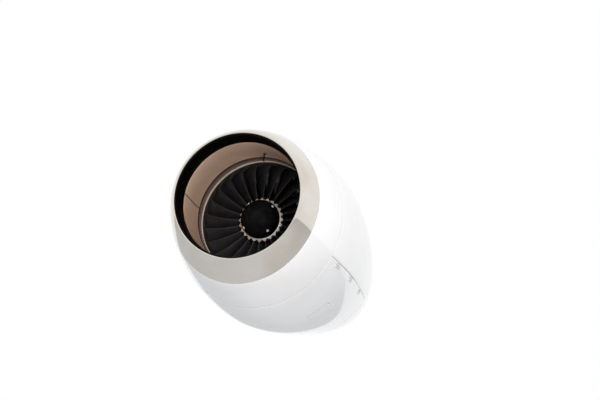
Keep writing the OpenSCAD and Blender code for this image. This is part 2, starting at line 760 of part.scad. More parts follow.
module combustor_liner() {
    w = 3;
    y0 = liner_y();
    y1 = combustor_end - seat;
    out_r = combustor_r - 28;
    in_r = 160;
    color("sienna") turned() polygon([
        [core_hub_r, y1], [in_r, y1 - 70], [in_r, y0 + 24], [in_r + 20, y0], [out_r - 20, y0],
        [out_r, y0 + 24],
        [out_r, y1 - 60], [core_tip_r, y1], [core_tip_r - w, y1], [out_r - w, y1 - 61], [out_r - w, y0 + 25],
        [out_r - 21, y0 + w], [in_r + 21, y0 + w], [in_r + w, y0 + 25], [in_r + w, y1 - 70],
        [core_hub_r + w, y1]
    ]);
}
module fuel_nozzles() {
    mid_r = 220;
    color("silver") around(nozzle_count) {
        translate([0, compressor_end + 40, 0]) radial_rod(mid_r, combustor_r + 18, 8);
        translate([mid_r, 0, 0]) axial_rod(compressor_end + 32, liner_y() - seat, 11);
    }
}
module fuel_manifold() {
    tube_r = 7;
    color("silver") translate([0, compressor_end + 40, 0]) turned()
        translate([combustor_r + 18 + seat + tube_r, 0]) circle(r = tube_r, $fn = round_fn);
}
module igniters() {
    color("dimgray") for (a = igniter_angles()) at_angle(a) translate([0, compressor_end + 110, 0]) {
        radial_rod(combustor_r - 28 + seat, combustor_r + 26, 9);
        radial_rod(combustor_r + seat, combustor_r + 12, 15);
    }
}
module turbine_case() {
    w = turbine_wall;
    step_y = turbine_y(0.33);
    color("peru") {
        turned() polygon([
            [core_tip_r + 2, combustor_end], [combustor_r + 20, combustor_end],
            [combustor_r + 20, combustor_end + 8],
            [core_tip_r + 2 + w, combustor_end + 8], [core_tip_r + 2 + w, step_y],
            [low_tip_r + 2 + w, step_y + 50],
            [low_tip_r + 2 + w, turbine_end - 8], [frame_r + 12, turbine_end - 8],
            [frame_r + 12, turbine_end],
            [low_tip_r + 2, turbine_end], [low_tip_r + 2, step_y + 50 + w / 2],
            [core_tip_r + 2, step_y + w / 2]
        ]);
        for (y = [turbine_y(0.04), turbine_y(0.184)])
            row(18, core_hub_r + 3, core_tip_r + 5, y, 28, 35, 3, 6);
        for (y = [turbine_y(0.47), turbine_y(0.69)])
            row(18, low_hub_r + 3, low_tip_r + 5, y, 40, 30, 4, 6);
    }
}
module core_turbine_rotor() {
    y1 = turbine_y(0.108);
    y2 = turbine_y(0.248);
    half = 14;
    front = compressor_end + 10;
    color("slategray") {
        turned() polygon([
            [core_bore_r + 4, front], [118, front], [118, front + 8], [core_stub_r, front + 20],
            [core_stub_r, y1 - 20], [130, y1 - 10],
            [core_hub_r - 14, y1 - 6], [core_hub_r - 14, y1 - half], [core_hub_r, y1 - half],
            [core_hub_r, y1 + half], [core_hub_r - 8, y1 + half],
            [core_hub_r - 8, y2 - half], [core_hub_r, y2 - half], [core_hub_r, y2 + half],
            [core_hub_r - 14, y2 + half], [core_hub_r - 14, y2 + 6],
            [100, y2 + 12], [70, y2 + 12], [70, y2 - 12], [100, y2 - 12], [core_hub_r - 14, y2 - 6],
            [core_hub_r - 14, y1 + 6],
            [100, y1 + 16], [core_bore_r + 4, y1 + 16]
        ]);
        for (y = [y1, y2]) row(24, core_hub_r - 4, core_tip_r, y, 26, -30, -4, 6);
    }
}
module low_turbine_rotor() {
    y1 = turbine_y(0.58);
    y2 = turbine_y(0.8);
    half = 17;
    in_r = low_shaft_r + seat;
    color("slategray") {
        turned() polygon([
            [in_r, y2 - 24], [in_r, y2 + 24], [80, y2 + 24], [95, y2 + 8], [low_hub_r - 16, y2 + 5],
            [low_hub_r - 16, y2 + half],
            [low_hub_r, y2 + half], [low_hub_r, y2 - half], [low_hub_r - 8, y2 - half],
            [low_hub_r - 8, y1 + half], [low_hub_r, y1 + half],
            [low_hub_r, y1 - half], [low_hub_r - 16, y1 - half], [low_hub_r - 16, y1 - 5], [95, y1 - 12],
            [80, y1 - 12], [80, y1 + 12],
            [95, y1 + 12], [low_hub_r - 16, y1 + 5], [low_hub_r - 16, y2 - 5], [95, y2 - 8], [80, y2 - 24]
        ]);
        for (y = [y1, y2]) row(24, low_hub_r - 4, low_tip_r, y, 34, -28, -5, 6);
    }
}
module exhaust_frame() {
    out = rear_journal_r + 30;
    color("peru") {
        turned() {
            polygon([
                [frame_r - 6, turbine_end], [frame_r + 12, turbine_end], [frame_r + 12, turbine_end + 8],
                [frame_r, turbine_end + 8],
                [frame_r, frame_end - 8], [frame_r + 10, frame_end - 8], [frame_r + 10, frame_end],
                [frame_r - 6, frame_end]
            ]);
            polygon([
                [low_hub_r - 4, turbine_end], [low_hub_r + 2, turbine_end], [low_hub_r + 2, frame_end],
                [low_hub_r - 4, frame_end],
                [low_hub_r - 4, rear_bearing_y + 45], [out + 8, rear_bearing_y + 50],
                [out, rear_bearing_y + 50], [out, rear_bearing_y],
                [out + 8, rear_bearing_y], [out + 8, rear_bearing_y + 40],
                [low_hub_r - 4, rear_bearing_y + 35]
            ]);
        }
        row(10, low_hub_r - 2, frame_r - 3, mix(turbine_end, frame_end, 0.5), 90, 0, 0, 20);
    }
}
module exhaust_mixer() {
    steps = 5;
    per_lobe = 6;
    count = lobe_count * per_lobe;
    function swing(t) = lobe_depth * smooth(t);
    function lobe_r(t, a) = frame_r + 3 + swing(t) * cos(lobe_count * a);
    // Slope of the lobe's side round the axis, which turns the wall's inward direction
    function side_a(t, a) = atan(-lobe_count * swing(t) * sin(lobe_count * a) / lobe_r(t, a));
    function spot(t, a, inset) = let (y = mix(frame_end, duct_end, t), turn = a - side_a(t, a))
        at(lobe_r(t, a), y, a) - at(inset, 0, turn);
    function grid(inset) = [for (i = [0:count - 1]) [for (k = [0:steps])
        spot(k / steps, i * 360 / count, inset)]];
    color("saddlebrown") skin(grid(0), grid(mixer_wall), true);
}
module tail_cone() {
    wall = 4;
    cone_len = 430;
    function line(inset) = [for (k = [0:8]) let (t = k / 8) [(low_hub_r + 2) * pow(1 - pow(t, 1.6),
        0.8) + (k == 8 ? 0 : -inset), frame_end + (cone_len - inset) * t]];
    inside = line(wall);
    color("saddlebrown") turned()
        polygon(concat(line(0), [for (k = [8:-1:0]) [max(0, inside[k][0]), inside[k][1]]]));
}
module core_cowl() {
    wall = 4;
    function line(inset) = [
        [mid_ring_r + 16 - inset, inter_end + seat], [mid_ring_r + 28 - inset, inter_end + 220],
        [mid_ring_r + 26 - inset, combustor_end], [mid_ring_r + 4 - inset, turbine_end - 150],
        [frame_r + 20 - inset, frame_end - 12]
    ];
    back = line(wall);
    color("tan") {
        turned() polygon(concat(line(0), [for (k = [4:-1:0]) back[k]]));
        turned() translate([frame_r + seat, frame_end - 30]) square([18, 6]);
    }
}
module bypass_duct() {
    out = duct_r + duct_wall;
    color("burlywood") turned() {
        polygon([
            [duct_r, inter_end], [case_r + flange_low, inter_end], [case_r + flange_low, inter_end + 10],
            [out, inter_end + 10],
            [out, duct_end - 60], [out - 12, duct_end], [duct_r - 12, duct_end], [duct_r, duct_end - 60]
        ]);
        for (y = [aft_mount_y - 70, aft_mount_y + 60]) translate([duct_r + 1, y])
            square([duct_wall + 22, 10]);
    }
}

// Accessories
module accessory_gearbox() {
    depth = 155;
    c = 14;
    color("darkseagreen") difference() {
        union() {
            turned_part(-132, -48) polygon([
                [gearbox_r + c, gearbox_y0], [gearbox_r + depth - c, gearbox_y0],
                [gearbox_r + depth, gearbox_y0 + c],
                [gearbox_r + depth, gearbox_y1 - c], [gearbox_r + depth - c, gearbox_y1],
                [gearbox_r + c, gearbox_y1],
                [gearbox_r, gearbox_y1 - c], [gearbox_r, gearbox_y0 + c]
            ]);
            for (a = [-125, -108, -72, -55]) at_angle(a)
                translate([track_r + 14 + seat, gearbox_y0 + 50, -20]) cube([gearbox_r - track_r, 40, 40]);
            at_angle(-90) translate([0, tower_y, 0]) radial_rod(track_r + 14 + 2, gearbox_r + 20, 34);
        }
        at_angle(-90) translate([0, tower_y, 0]) radial_rod(track_r, gearbox_r + 60, tower_r + running);
    }
}
module tower_shaft() {
    pinion_r = 50;
    color("silver") at_angle(-90) translate([0, tower_y, 0]) {
        radial_rod(100, gearbox_r + 50, tower_r);
        translate([80, 0, 0]) rotate([0, 90, 0]) cylinder(h = 20, r1 = pinion_r * 0.8 - 0.6,
            r2 = pinion_r - 0.6);
        radial_rod(100, 108, pinion_r - 4);
    }
}
module starter_generator() {
    r = 74;
    color("slategray") at_angle(-62) translate([accessory_r, 0, 0]) {
        axial_rod(gearbox_y1 + seat, gearbox_y1 + 26, r * 0.8);
        axial_rod(gearbox_y1 + 20, gearbox_y1 + 240, r);
        axial_rod(gearbox_y1 + 236, gearbox_y1 + 262, r * 0.7);
        translate([20, gearbox_y1 + 100, -30]) cube([r - 6, 80, 60]);
    }
}
module fuel_pump() {
    color("silver") at_angle(-118) translate([accessory_r, 0, 0]) {
        axial_rod(gearbox_y1 + seat, gearbox_y1 + 90, 62);
        translate([-50, gearbox_y1 + 80, -46]) cube([100, 110, 92]);
        axial_rod(gearbox_y1 + 180, gearbox_y1 + 230, 30);
    }
}
module oil_tank() {
    r0 = case_r + case_wall + 18;
    c = 20;
    y0 = inlet_len + 120;
    y1 = case_end - 40;
    color("lightgray") {
        turned_part(-28, 20) polygon([
            [r0 + c, y0], [r0 + 110 - c, y0], [r0 + 110, y0 + c], [r0 + 110, y1 - c], [r0 + 110 - c, y1],
            [r0 + c, y1], [r0, y1 - c], [r0, y0 + c]
        ]);
        for (a = [-20, 12]) at_angle(a) translate([case_r + case_wall + rib_h + seat, y0 + 120, -15])
                cube([20, 120, 30]);
    }
}
module control_unit() {
    box_x = case_r + case_wall + 30;
    y0 = inlet_len + 130;
    foot_z = 80;
    foot_x = sqrt(pow(case_r + case_wall + seat, 2) - foot_z * foot_z);
    color("darkgray") at_angle(52) {
        translate([box_x, y0, -130]) cube([80, 260, 260]);
        for (y = [y0 + 20, y0 + 210], z = [-foot_z - 20, foot_z])
            translate([foot_x, y, z]) cube([box_x + 1 - foot_x, 20, 20]);
        for (z = [-80, 0, 80]) translate([box_x + 40, 0, z]) axial_rod(y0 + 255, y0 + 290, 20);
    }
}

// Mounts
module mount_holes(y) {
    for (dy = [-0.5, 0.5], dz = [-0.5, 0.5])
        translate([-mount_reach - 1, y + dy * mount_pitch_y, dz * mount_pitch_z])
        rotate([0, 90, 0]) cylinder(h = pad_t + 2, r = mount_hole_r);
}
module mount_pad(y, width, height) {
    translate([-mount_reach, y - width / 2, -height / 2]) cube([pad_t, width, height]);
}
module forward_mount() {
    seat_r = track_r + 14;
    color("dimgray") difference() {
        union() {
            mount_pad(front_mount_y, mount_pitch_y + 80, mount_pitch_z + 80);
            for (z = [-110, 80]) translate([-mount_reach + pad_t - 1, front_mount_y - 60, z])
                cube([mount_reach - pad_t + 1 - seat_r + 6, 120, 30]);
            translate([-seat_r - 60, front_mount_y - 60, -110]) cube([40, 120, 220]);
        }
        axial_rod(front_mount_y - 200, front_mount_y + 200, seat_r + seat);
        mount_holes(front_mount_y);
    }
}
module aft_mount() {
    seat_r = duct_r + duct_wall;
    color("dimgray") difference() {
        union() {
            mount_pad(aft_mount_y, mount_pitch_y - 40, mount_pitch_z);
            for (z = [-90, 70]) translate([-mount_reach + pad_t - 1, aft_mount_y - 40, z])
                cube([mount_reach - pad_t + 1 - seat_r + 4, 80, 20]);
            translate([-seat_r - 55, aft_mount_y - 50, -90]) cube([45, 100, 180]);
        }
        axial_rod(aft_mount_y - 200, aft_mount_y + 200, seat_r + seat);
        for (dz = [-0.5, 0.5]) translate([-mount_reach - 1, aft_mount_y, dz * (mount_pitch_z - 80)])
            rotate([0, 90, 0]) cylinder(h = pad_t + 2, r = mount_hole_r);
    }
}

// Cowl doors. Edges beside the hinge lines lie in level planes, so that they are straight.
function level_a(y, z) = 180 - asin(z / round_r(y));
function door_y(k) = mix(door_front, door_rear, k / door_steps);
module skin_panel(a_from, a_to, steps, inset, wall) {
    function grid(drop) = [for (i = [0:steps]) [for (k = [0:door_steps])
        let (y = door_y(k), a = mix(a_from[k], a_to[k], i / steps)) at(skin_r(y, a) - drop, y, a)]];
    skin(grid(inset), grid(inset + wall), false);
}
module apron() {
    low = [for (k = [0:door_steps]) 360 - level_a(door_y(k), hinge_z - door_gap / 2)];
    high = [for (k = [0:door_steps]) level_a(door_y(k), hinge_z - door_gap / 2)];
    color("white") difference() {
        union() {
            skin_panel(high, low, 8, 0, skin_wall);
            for (side = [-1, 1]) hinge_ears(side);
        }
        translate([-nacelle_max_r - 50, front_mount_y - 75, -125]) cube([200, 150, 250]);
        translate([-nacelle_max_r - 50, aft_mount_y - 55, -105]) cube([300, 110, 210]);
        for (side = [-1, 1], y = hinge_ys) hinge_bore(side, y);
    }
}
module hinge_bore(side, y) {
    translate([hinge_x, 0, side * hinge_z]) axial_rod(y - 40, y + 40, hinge_pin_r + running);
}
// Arm of a hinge, which reaches from the pin into the skin
module hinge_arm(side, y, width, lean) {
    dip = 90 - asin(hinge_z / nacelle_max_r) - lean;
    arm_len = (hinge_out + nacelle_max_r - round_r(y) + skin_wall + arm_past) / sin(dip);
    translate([hinge_x, y - width / 2, side * hinge_z]) {
        axial_rod(0, width, hinge_lug_r);
        rotate([0, -side * lean, 0]) translate([0, 0, -arm_w / 2]) cube([arm_len, width, arm_w]);
    }
}
module hinge_ears(side) {
    for (y = hinge_ys, e = [-1, 1])
        hinge_arm(side, y + e * (hinge_lug_w / 2 + hinge_side_gap + hinge_ear_w / 2), hinge_ear_w, -26);
}
module upper_cowl_door() {
    low = [for (k = [0:door_steps]) split_a + door_gap / 2 / nacelle_max_r * 180 / PI];
    high = [for (k = [0:door_steps]) level_a(door_y(k), hinge_z + door_gap / 2)];
    color("white") difference() {
        union() {
            skin_panel(low, high, 22, 0, skin_wall);
            for (y = hinge_ys) hinge_arm(1, y, hinge_lug_w, 26);
        }
        for (y = hinge_ys) hinge_bore(1, y);
    }
}
module lower_cowl_door() {
    low = [for (k = [0:door_steps]) -level_a(door_y(k), hinge_z + door_gap / 2)];
    high = [for (k = [0:door_steps]) split_a - door_gap / 2 / nacelle_max_r * 180 / PI];
    color("white") difference() {
        union() {
            skin_panel(low, high, 22, 0, skin_wall);
            for (y = hinge_ys) hinge_arm(-1, y, hinge_lug_w, 26);
            for (y = latch_ys) on_skin(y, latch_a) latch_lugs();
            on_skin(oil_y, oil_a + oil_door_a / 2) oil_lugs();
        }
        for (y = hinge_ys) hinge_bore(-1, y);
        for (y = latch_ys) on_skin(y, latch_a) translate([latch_wall, 0, -latch_w - 4])
            axial_rod(-latch_len, latch_len, latch_pin_r + running);
        on_skin(oil_y, oil_a + oil_door_a / 2) translate([oil_pin_x, 0, 0])
            axial_rod(-oil_door_len, oil_door_len, latch_pin_r + running);
        oil_opening();
    }
}
module cowl_hinge_pins() {
    half = hinge_lug_w / 2 + hinge_side_gap + hinge_ear_w + 3;
    color("silver") for (side = [-1, 1], y = hinge_ys) translate([hinge_x, 0, side * hinge_z])
        axial_rod(y - half, y + half, hinge_pin_r);
}
// Places a piece on the skin: X out of the skin, Y along it, Z round it
module on_skin(y, a) {
    at_angle(a) translate([skin_r(y, a), y, 0]) rotate([0, 0, -skin_tilt(y, a)]) children();
}
module latch_lugs() {
    for (e = [-1, 1]) translate([-lug_root, e * (latch_len / 2 + seat + lug_w / 2) - lug_w / 2, -latch_w - 9])
        cube([latch_wall + lug_past_pin + lug_root, lug_w, 10]);
}
module latch() {
    color("silver") {
        translate([0.6, -latch_len / 2, -latch_w]) cube([latch_wall, latch_len, latch_w]);
        translate([latch_wall, 0, -latch_w - 4]) {
            axial_rod(-latch_len / 2, latch_len / 2, 4.2);
            axial_rod(-latch_len / 2 - lug_w, latch_len / 2 + lug_w, latch_pin_r);
        }
    }
}
module front_latch() {
    on_skin(latch_ys[0], latch_a) latch();
}
module middle_latch() {
    on_skin(latch_ys[1], latch_a) latch();
}
module rear_latch() {
    on_skin(latch_ys[2], latch_a) latch();
}
module oil_lugs() {
    for (y = [-70, 70]) translate([-lug_root, y - lug_w / 2, -5])
        cube([oil_pin_x + lug_past_pin + lug_root, lug_w, 10]);
}
module oil_opening() {
    at_angle(oil_a) translate([nacelle_max_r - 60, oil_y - oil_door_len / 2 - 3, 0])
        translate([0, 0, -oil_half_w() - 6]) cube([140, oil_door_len + 6, 2 * oil_half_w() + 2]);
}
function oil_half_w() = nacelle_max_r * sin(oil_door_a / 2);
module oil_door() {
    rows = 6;
    a0 = oil_a - oil_door_a / 2;
    a1 = oil_a + oil_door_a / 2 - 0.55;
    function grid(drop) = [for (i = [0:rows]) [for (k = [0:2])
        let (y = oil_y + (k / 2 - 0.5) * oil_door_len, a = mix(a0, a1, i / rows))
            at(skin_r(y, a) - drop, y, a)]];
    color("white") {
        skin(grid(0), grid(oil_wall), false);
        on_skin(oil_y, oil_a + oil_door_a / 2) for (e = [-1, 1]) translate([oil_pin_x, e * 70, 0]) {
            side = e > 0 ? -1 : 1;
            translate([0, side * (lug_w / 2 + seat + 10), 0]) {
                axial_rod(-10, 10, 4.5);
                translate([-3.5, -10, -24]) cube([7, 20, 24]);
                translate([-8, -10, -24]) cube([6, 20, 14]);
            }
            axial_rod(-lug_w / 2 - 8, lug_w / 2 + 8, latch_pin_r);
        }
    }
}

// Thrust reverser
module aft_barrel() {
    steps = 3;
    y1 = duct_end;
    plain = [for (k = [0:steps]) let (y = mix(aft_skin_y, y1, k / steps)) [y, 0,
        k == 0 ? y + skin_wall : y, skin_wall]];
    land = [for (y = [aft_skin_y - land_len, aft_skin_y])
        [y, land_inset, y == aft_skin_y ? y + skin_wall : y, land_inset + skin_wall]];
    color("white") skin_ring(concat(land, plain));
}
module reverser_frame() {
    color("darkkhaki") {
        skin_plate(duct_end - 20, 10, duct_r + duct_wall + seat);
        turned() translate([duct_r + duct_wall + seat, duct_end - 60]) square([10, 45]);
    }
}
// Closed block of the nozzle between the two angles, from the gas side to the skin
module nozzle_block(a0, a1, steps, y0, y1, y_steps) {
    function grid(inside) = [for (i = [0:steps]) let (a = mix(a0, a1, i / steps)) [for (k = [0:y_steps])
        let (y = mix(y0, y1, k / y_steps)) at(inside ? nozzle_skin_r(y) : round_r(y), y, a)]];
    skin(grid(false), grid(true), false);
}
// Column along X round a pivot, from one distance from the axis to another
module pivot_column(x0, x1, r, side_x, side_z) {
    translate([0, pivot_y, side_z * pivot_z]) mirror([side_x < 0 ? 1 : 0, 0, 0]) translate([x0, 0, 0])
        rotate([0, 90, 0]) cylinder(h = x1 - x0, r = r);
}
module side_beams() {
    front = duct_end + seat;
    rear = pivot_y + 60;
    color("white") difference() {
        union() {
            for (side = [0, 180]) difference() {
                nozzle_block(side - 14, side + 14, 4, front, rear, 8);
                for (z = [beam_z, -beam_z - nacelle_max_r]) translate([-nacelle_max_r, front - 10, z])
                    cube([2 * nacelle_max_r, rear - front + 20, nacelle_max_r]);
                for (x = [-1, 1], z = [-1, 1]) pivot_column(pivot_reach, pivot_reach + 90, pivot_clear_r,
                    x, z);
            }
            for (x = [-1, 1], z = [-1, 1]) pivot_column(pivot_reach - pivot_tongue_w, pivot_reach,
                pivot_disc_r, x, z);
        }
        for (x = [-1, 1], z = [-1, 1]) pivot_column(pivot_reach - 60, pivot_reach + 90,
            pivot_pin_r + running, x, z);
    }
}
module reverser_door() {
    front = duct_end + reverser_gap;
    cut = 600;
    color("white") difference() {
        union() {
            difference() {
                nozzle_block(0, 180, 22, front, nacelle_len, 8);
                translate([-nacelle_max_r, front - 10, -10])
                    cube([2 * nacelle_max_r, nacelle_len, beam_z + 12]);
                translate([0, pivot_y, pivot_z]) rotate([fish_a, 0, 0]) translate([-nacelle_max_r, -40, -cut])
                    cube([2 * nacelle_max_r, cut, cut]);
                for (x = [-1, 1]) pivot_column(pivot_reach - 80, pivot_reach + 1, pivot_clear_r, x, 1);
            }
            for (x = [-1, 1]) pivot_column(pivot_reach + 1, pivot_reach + 15, pivot_disc_r, x, 1);
        }
        for (x = [-1, 1]) pivot_column(pivot_reach - 80, pivot_reach + 90, pivot_pin_r + running, x, 1);
    }
}
module upper_reverser_door() {
    reverser_door();
}
module lower_reverser_door() {
    mirror([0, 0, 1]) reverser_door();
}
module reverser_pins() {
    color("silver") for (x = [-1, 1], z = [-1, 1])
        pivot_column(pivot_reach - pivot_tongue_w, pivot_reach + 16, pivot_pin_r, x, z);
}

origin_at_mount() nose_lip();
origin_at_mount() inlet_front_bulkhead();
origin_at_mount() inlet_outer_barrel();
origin_at_mount() inlet_inner_barrel();
origin_at_mount() inlet_rear_bulkhead();
origin_at_mount() inlet_flange_bolts();
origin_at_mount() inlet_probe();
origin_at_mount() fan_case();
origin_at_mount() front_acoustic_panel();
origin_at_mount() fan_track();
origin_at_mount() rear_acoustic_panel();
origin_at_mount() spinner();
origin_at_mount() spinner_ring();
origin_at_mount() fan_blades();
origin_at_mount() annulus_fillers();
origin_at_mount() fan_disc();
origin_at_mount() low_shaft();
origin_at_mount() main_bearings();
origin_at_mount() outlet_guide_vanes();
origin_at_mount() flow_splitter();
origin_at_mount() intermediate_case();
origin_at_mount() compressor_case();
origin_at_mount() compressor_rotor();
origin_at_mount() combustor_case();
origin_at_mount() combustor_liner();
origin_at_mount() fuel_nozzles();
origin_at_mount() fuel_manifold();
origin_at_mount() igniters();
origin_at_mount() turbine_case();
origin_at_mount() core_turbine_rotor();
origin_at_mount() low_turbine_rotor();
origin_at_mount() exhaust_frame();
origin_at_mount() exhaust_mixer();
origin_at_mount() tail_cone();
origin_at_mount() core_cowl();
origin_at_mount() bypass_duct();
origin_at_mount() accessory_gearbox();
origin_at_mount() tower_shaft();
origin_at_mount() starter_generator();
origin_at_mount() fuel_pump();
origin_at_mount() oil_tank();
origin_at_mount() control_unit();
origin_at_mount() forward_mount();
origin_at_mount() aft_mount();
origin_at_mount() apron();
origin_at_mount() upper_cowl_door();
origin_at_mount() lower_cowl_door();
origin_at_mount() cowl_hinge_pins();
origin_at_mount() front_latch();
origin_at_mount() middle_latch();
origin_at_mount() rear_latch();
origin_at_mount() oil_door();
origin_at_mount() aft_barrel();
origin_at_mount() reverser_frame();
origin_at_mount() side_beams();
origin_at_mount() upper_reverser_door();
origin_at_mount() lower_reverser_door();
origin_at_mount() reverser_pins();
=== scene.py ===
"""Looks of a podded jet engine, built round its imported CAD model."""
import json
from math import asin, atan, atan2, cos, pi, radians, sin, sqrt

import bmesh
import bpy
from mathutils import Matrix, Vector

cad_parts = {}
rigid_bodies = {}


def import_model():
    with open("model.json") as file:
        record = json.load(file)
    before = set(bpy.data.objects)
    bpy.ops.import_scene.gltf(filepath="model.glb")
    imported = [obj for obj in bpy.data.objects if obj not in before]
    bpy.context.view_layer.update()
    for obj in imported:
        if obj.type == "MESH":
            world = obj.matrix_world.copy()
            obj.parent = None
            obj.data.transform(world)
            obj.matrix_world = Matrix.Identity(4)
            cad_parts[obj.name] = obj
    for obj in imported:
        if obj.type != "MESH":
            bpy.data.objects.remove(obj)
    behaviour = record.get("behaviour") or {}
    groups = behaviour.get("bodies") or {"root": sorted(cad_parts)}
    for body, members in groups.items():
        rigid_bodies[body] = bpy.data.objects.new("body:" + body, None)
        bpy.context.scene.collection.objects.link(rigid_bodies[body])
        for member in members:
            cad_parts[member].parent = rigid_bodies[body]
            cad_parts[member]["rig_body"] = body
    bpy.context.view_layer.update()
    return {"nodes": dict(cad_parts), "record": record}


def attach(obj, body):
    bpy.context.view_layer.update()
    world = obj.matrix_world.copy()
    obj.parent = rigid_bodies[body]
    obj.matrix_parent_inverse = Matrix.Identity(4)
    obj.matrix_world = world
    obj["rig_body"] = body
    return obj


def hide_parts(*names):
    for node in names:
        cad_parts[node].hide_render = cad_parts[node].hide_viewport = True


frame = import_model()

# The engine's axis and the lip's foremost line, seen from the forward mount
AXIS_X = 0.985
LIP_Y = -1.33
TO_ROW = Matrix.Translation((AXIS_X, LIP_Y, 0))

# Sizes of the nacelle in metres, with y counted from the lip
LIP_R, FULL_R, FULL_Y, EXIT_R = 0.625, 0.938, 1.5, 0.497
CHIN, WALL = 0.06, 0.006
THROAT_R, THROAT_Y = 0.59, 0.155
LIP_INSIDE, LIP_OUTSIDE = 0.19, 0.25
BARREL_END, SKIN_END, SEAM = 0.68, 0.76, 0.0008
DOOR_FRONT, DOOR_REAR, DOOR_GAP = 0.764, 2.946, 0.004
AFT_SKIN, DUCT_END, NOZZLE_END = 2.95, 3.35, 4.25
DUCT_R, NOZZLE_R = 0.612, 0.484
TRACK_R, LINING_R = 0.612, 0.6277
LAND_INSET, LAND_LEN = 0.0094, 0.04
SPLIT = radians(-20)
PIVOT_Y, PIVOT_Z, PIVOT_DEPTH = 4.0, 0.055, 0.037
PIVOT_HOLE_R, PIVOT_BOSS_R = 0.043, 0.04

# Hinges, latches and the oil door
HINGE_Z, HINGE_OUT, HINGE_LEAN = 0.4, 0.02, 26
HINGE_X = -(sqrt(FULL_R ** 2 - HINGE_Z ** 2) + HINGE_OUT)
HINGE_YS = (1.15, 1.5, 1.9)
HINGE_PIN_R, HINGE_PIN_PAST = 0.007, 0.003
DOOR_ARM, FIXED_ARM, ARM_GAP = 0.014, 0.010, 0.0005
LUG, LUG_GAP = 0.005, 0.0003
LATCH_YS, LATCH_A = (1.0, 1.5, 2.2), radians(-20.4)
LATCH_HALF, LATCH_PIN_Z = 0.055, -0.040
PIN_X, PIN_R = 0.005, 0.0022
OIL_Y, OIL_A, OIL_SPAN, OIL_LEN = 1.52, radians(-50), radians(16), 0.24
OIL_LUG_Y, OIL_GRIP = 0.07, 0.010

# Sizes of the fan
BLADES, TIP_R, HUB_R, HUB_SLOPE = 24, 0.61, 0.235, 0.36
PITCH = 2 * pi / BLADES
SPINNER_R, SPINNER_LEN = 0.203, 0.188
BLADE_MID_HUB, BLADE_MID_TIP = 0.94, 0.895
HUB_CHORD, TIP_CHORD = 0.185, 0.228
HUB_STAGGER, TIP_STAGGER, TIP_LEAN = radians(24), radians(61), radians(5.5)
BLADE_STEPS, BLADE_ROWS, ROOT_R = 14, 22, 0.213
HUB_FRONT = BLADE_MID_HUB - HUB_CHORD / 2 * cos(HUB_STAGGER)
SPINNER_BASE = HUB_FRONT - 0.018
DISC_FRONT, DISC_HALF = HUB_FRONT + 0.008, 0.074
RING_GAP = 0.0003


# Form of the nacelle
def smooth(t):
    t = min(1, max(0, t))
    return t * t * (3 - 2 * t)


def mix(a, b, t):
    return a + (b - a) * t


def round_r(y):
    if y <= FULL_Y:
        return LIP_R + (FULL_R - LIP_R) * (1 - (1 - max(0, y) / FULL_Y) ** 1.7) ** 0.7
    return FULL_R - (FULL_R - EXIT_R) * ((y - FULL_Y) / (NOZZLE_END - FULL_Y)) ** 1.7


PIVOT_REACH = round_r(PIVOT_Y) - PIVOT_DEPTH


def skin_r(y, a):
    chin = CHIN * smooth(y / 0.3) * (1 - smooth((y - FULL_Y) / 1.5)) * max(0, -sin(a)) ** 3
    return round_r(y) + chin


def inlet_r(y):
    if y <= THROAT_Y:
        return LIP_R - (LIP_R - THROAT_R) * sqrt(max(0, 1 - (1 - y / THROAT_Y) ** 2))
    return mix(THROAT_R, 0.618, smooth((y - THROAT_Y) / (BARREL_END - THROAT_Y)))


def nozzle_inside(y):
    return NOZZLE_R + (DUCT_R - 0.012 - NOZZLE_R) * (1 - (y - DUCT_END) / (NOZZLE_END - DUCT_END)) ** 2


def hub_r(y):
    return HUB_R + (y - HUB_FRONT) * HUB_SLOPE


def polar(r, y, a):
    """Point round an axis through the origin, at an angle from outboard towards up."""
    return Vector((r * cos(a), y, r * sin(a)))


def at(r, y, a):
    """Point at a radius, a distance behind the lip and an angle from outboard towards up."""
    return Vector((AXIS_X + r * cos(a), LIP_Y + y, r * sin(a)))


def spaced(a, b, count):
    """Both ends of a range and even steps between them."""
    return [mix(a, b, k / count) for k in range(count + 1)]


def turns(count):
    """Angles once round the axis."""
    return [2 * pi * k / count for k in range(count)]


def rings(angles, line):
    """Rows of points at the angles, from a line of (radius, y) that may depend on the angle."""
    return [[at(r, y, a) for r, y in line(a)] for a in angles]


def level(y, z):
    """Angle past the top at which the skin meets a level plane on the inboard side."""
    return pi - asin(z / round_r(y))


def skin_frame(y, a):
    """Place on the skin: X out of it, Y along it and Z round it."""
    slope = atan((skin_r(y + 0.001, a) - skin_r(y - 0.001, a)) / 0.002)
    spot = Matrix.Translation((skin_r(y, a), y, 0))
    return TO_ROW @ (Matrix.Rotation(-a, 4, "Y") @ spot @ Matrix.Rotation(-slope, 4, "Z"))


# Making pieces
def put(name, data):
    """New object in the scene."""
    made = bpy.data.objects.new(name, data)
    bpy.context.scene.collection.objects.link(made)
    return made


def new_piece(name, points, faces):
    mesh = bpy.data.meshes.new(name)
    mesh.from_pydata([tuple(p) for p in points], [], faces)
    return put(name, mesh)


SHARP = 32


def shade_smooth(piece, shape, sharp=SHARP):
    """Writes the shape to the piece and shades it smooth between its sharp edges."""
    shape.to_mesh(piece.data)
    shape.free()
    for face in piece.data.polygons:
        face.use_smooth = True
    piece.data.set_sharp_from_angle(angle=radians(sharp))
    return piece


def finish_mesh(piece, sharp=SHARP):
    """Merges doubles, points the faces outwards and shades the piece."""
    shape = bmesh.new()
    shape.from_mesh(piece.data)
    bmesh.ops.remove_doubles(shape, verts=shape.verts, dist=1e-6)
    bmesh.ops.dissolve_degenerate(shape, edges=shape.edges, dist=1e-7)
    bmesh.ops.recalc_face_normals(shape, faces=shape.faces)
    return shade_smooth(piece, shape, sharp)


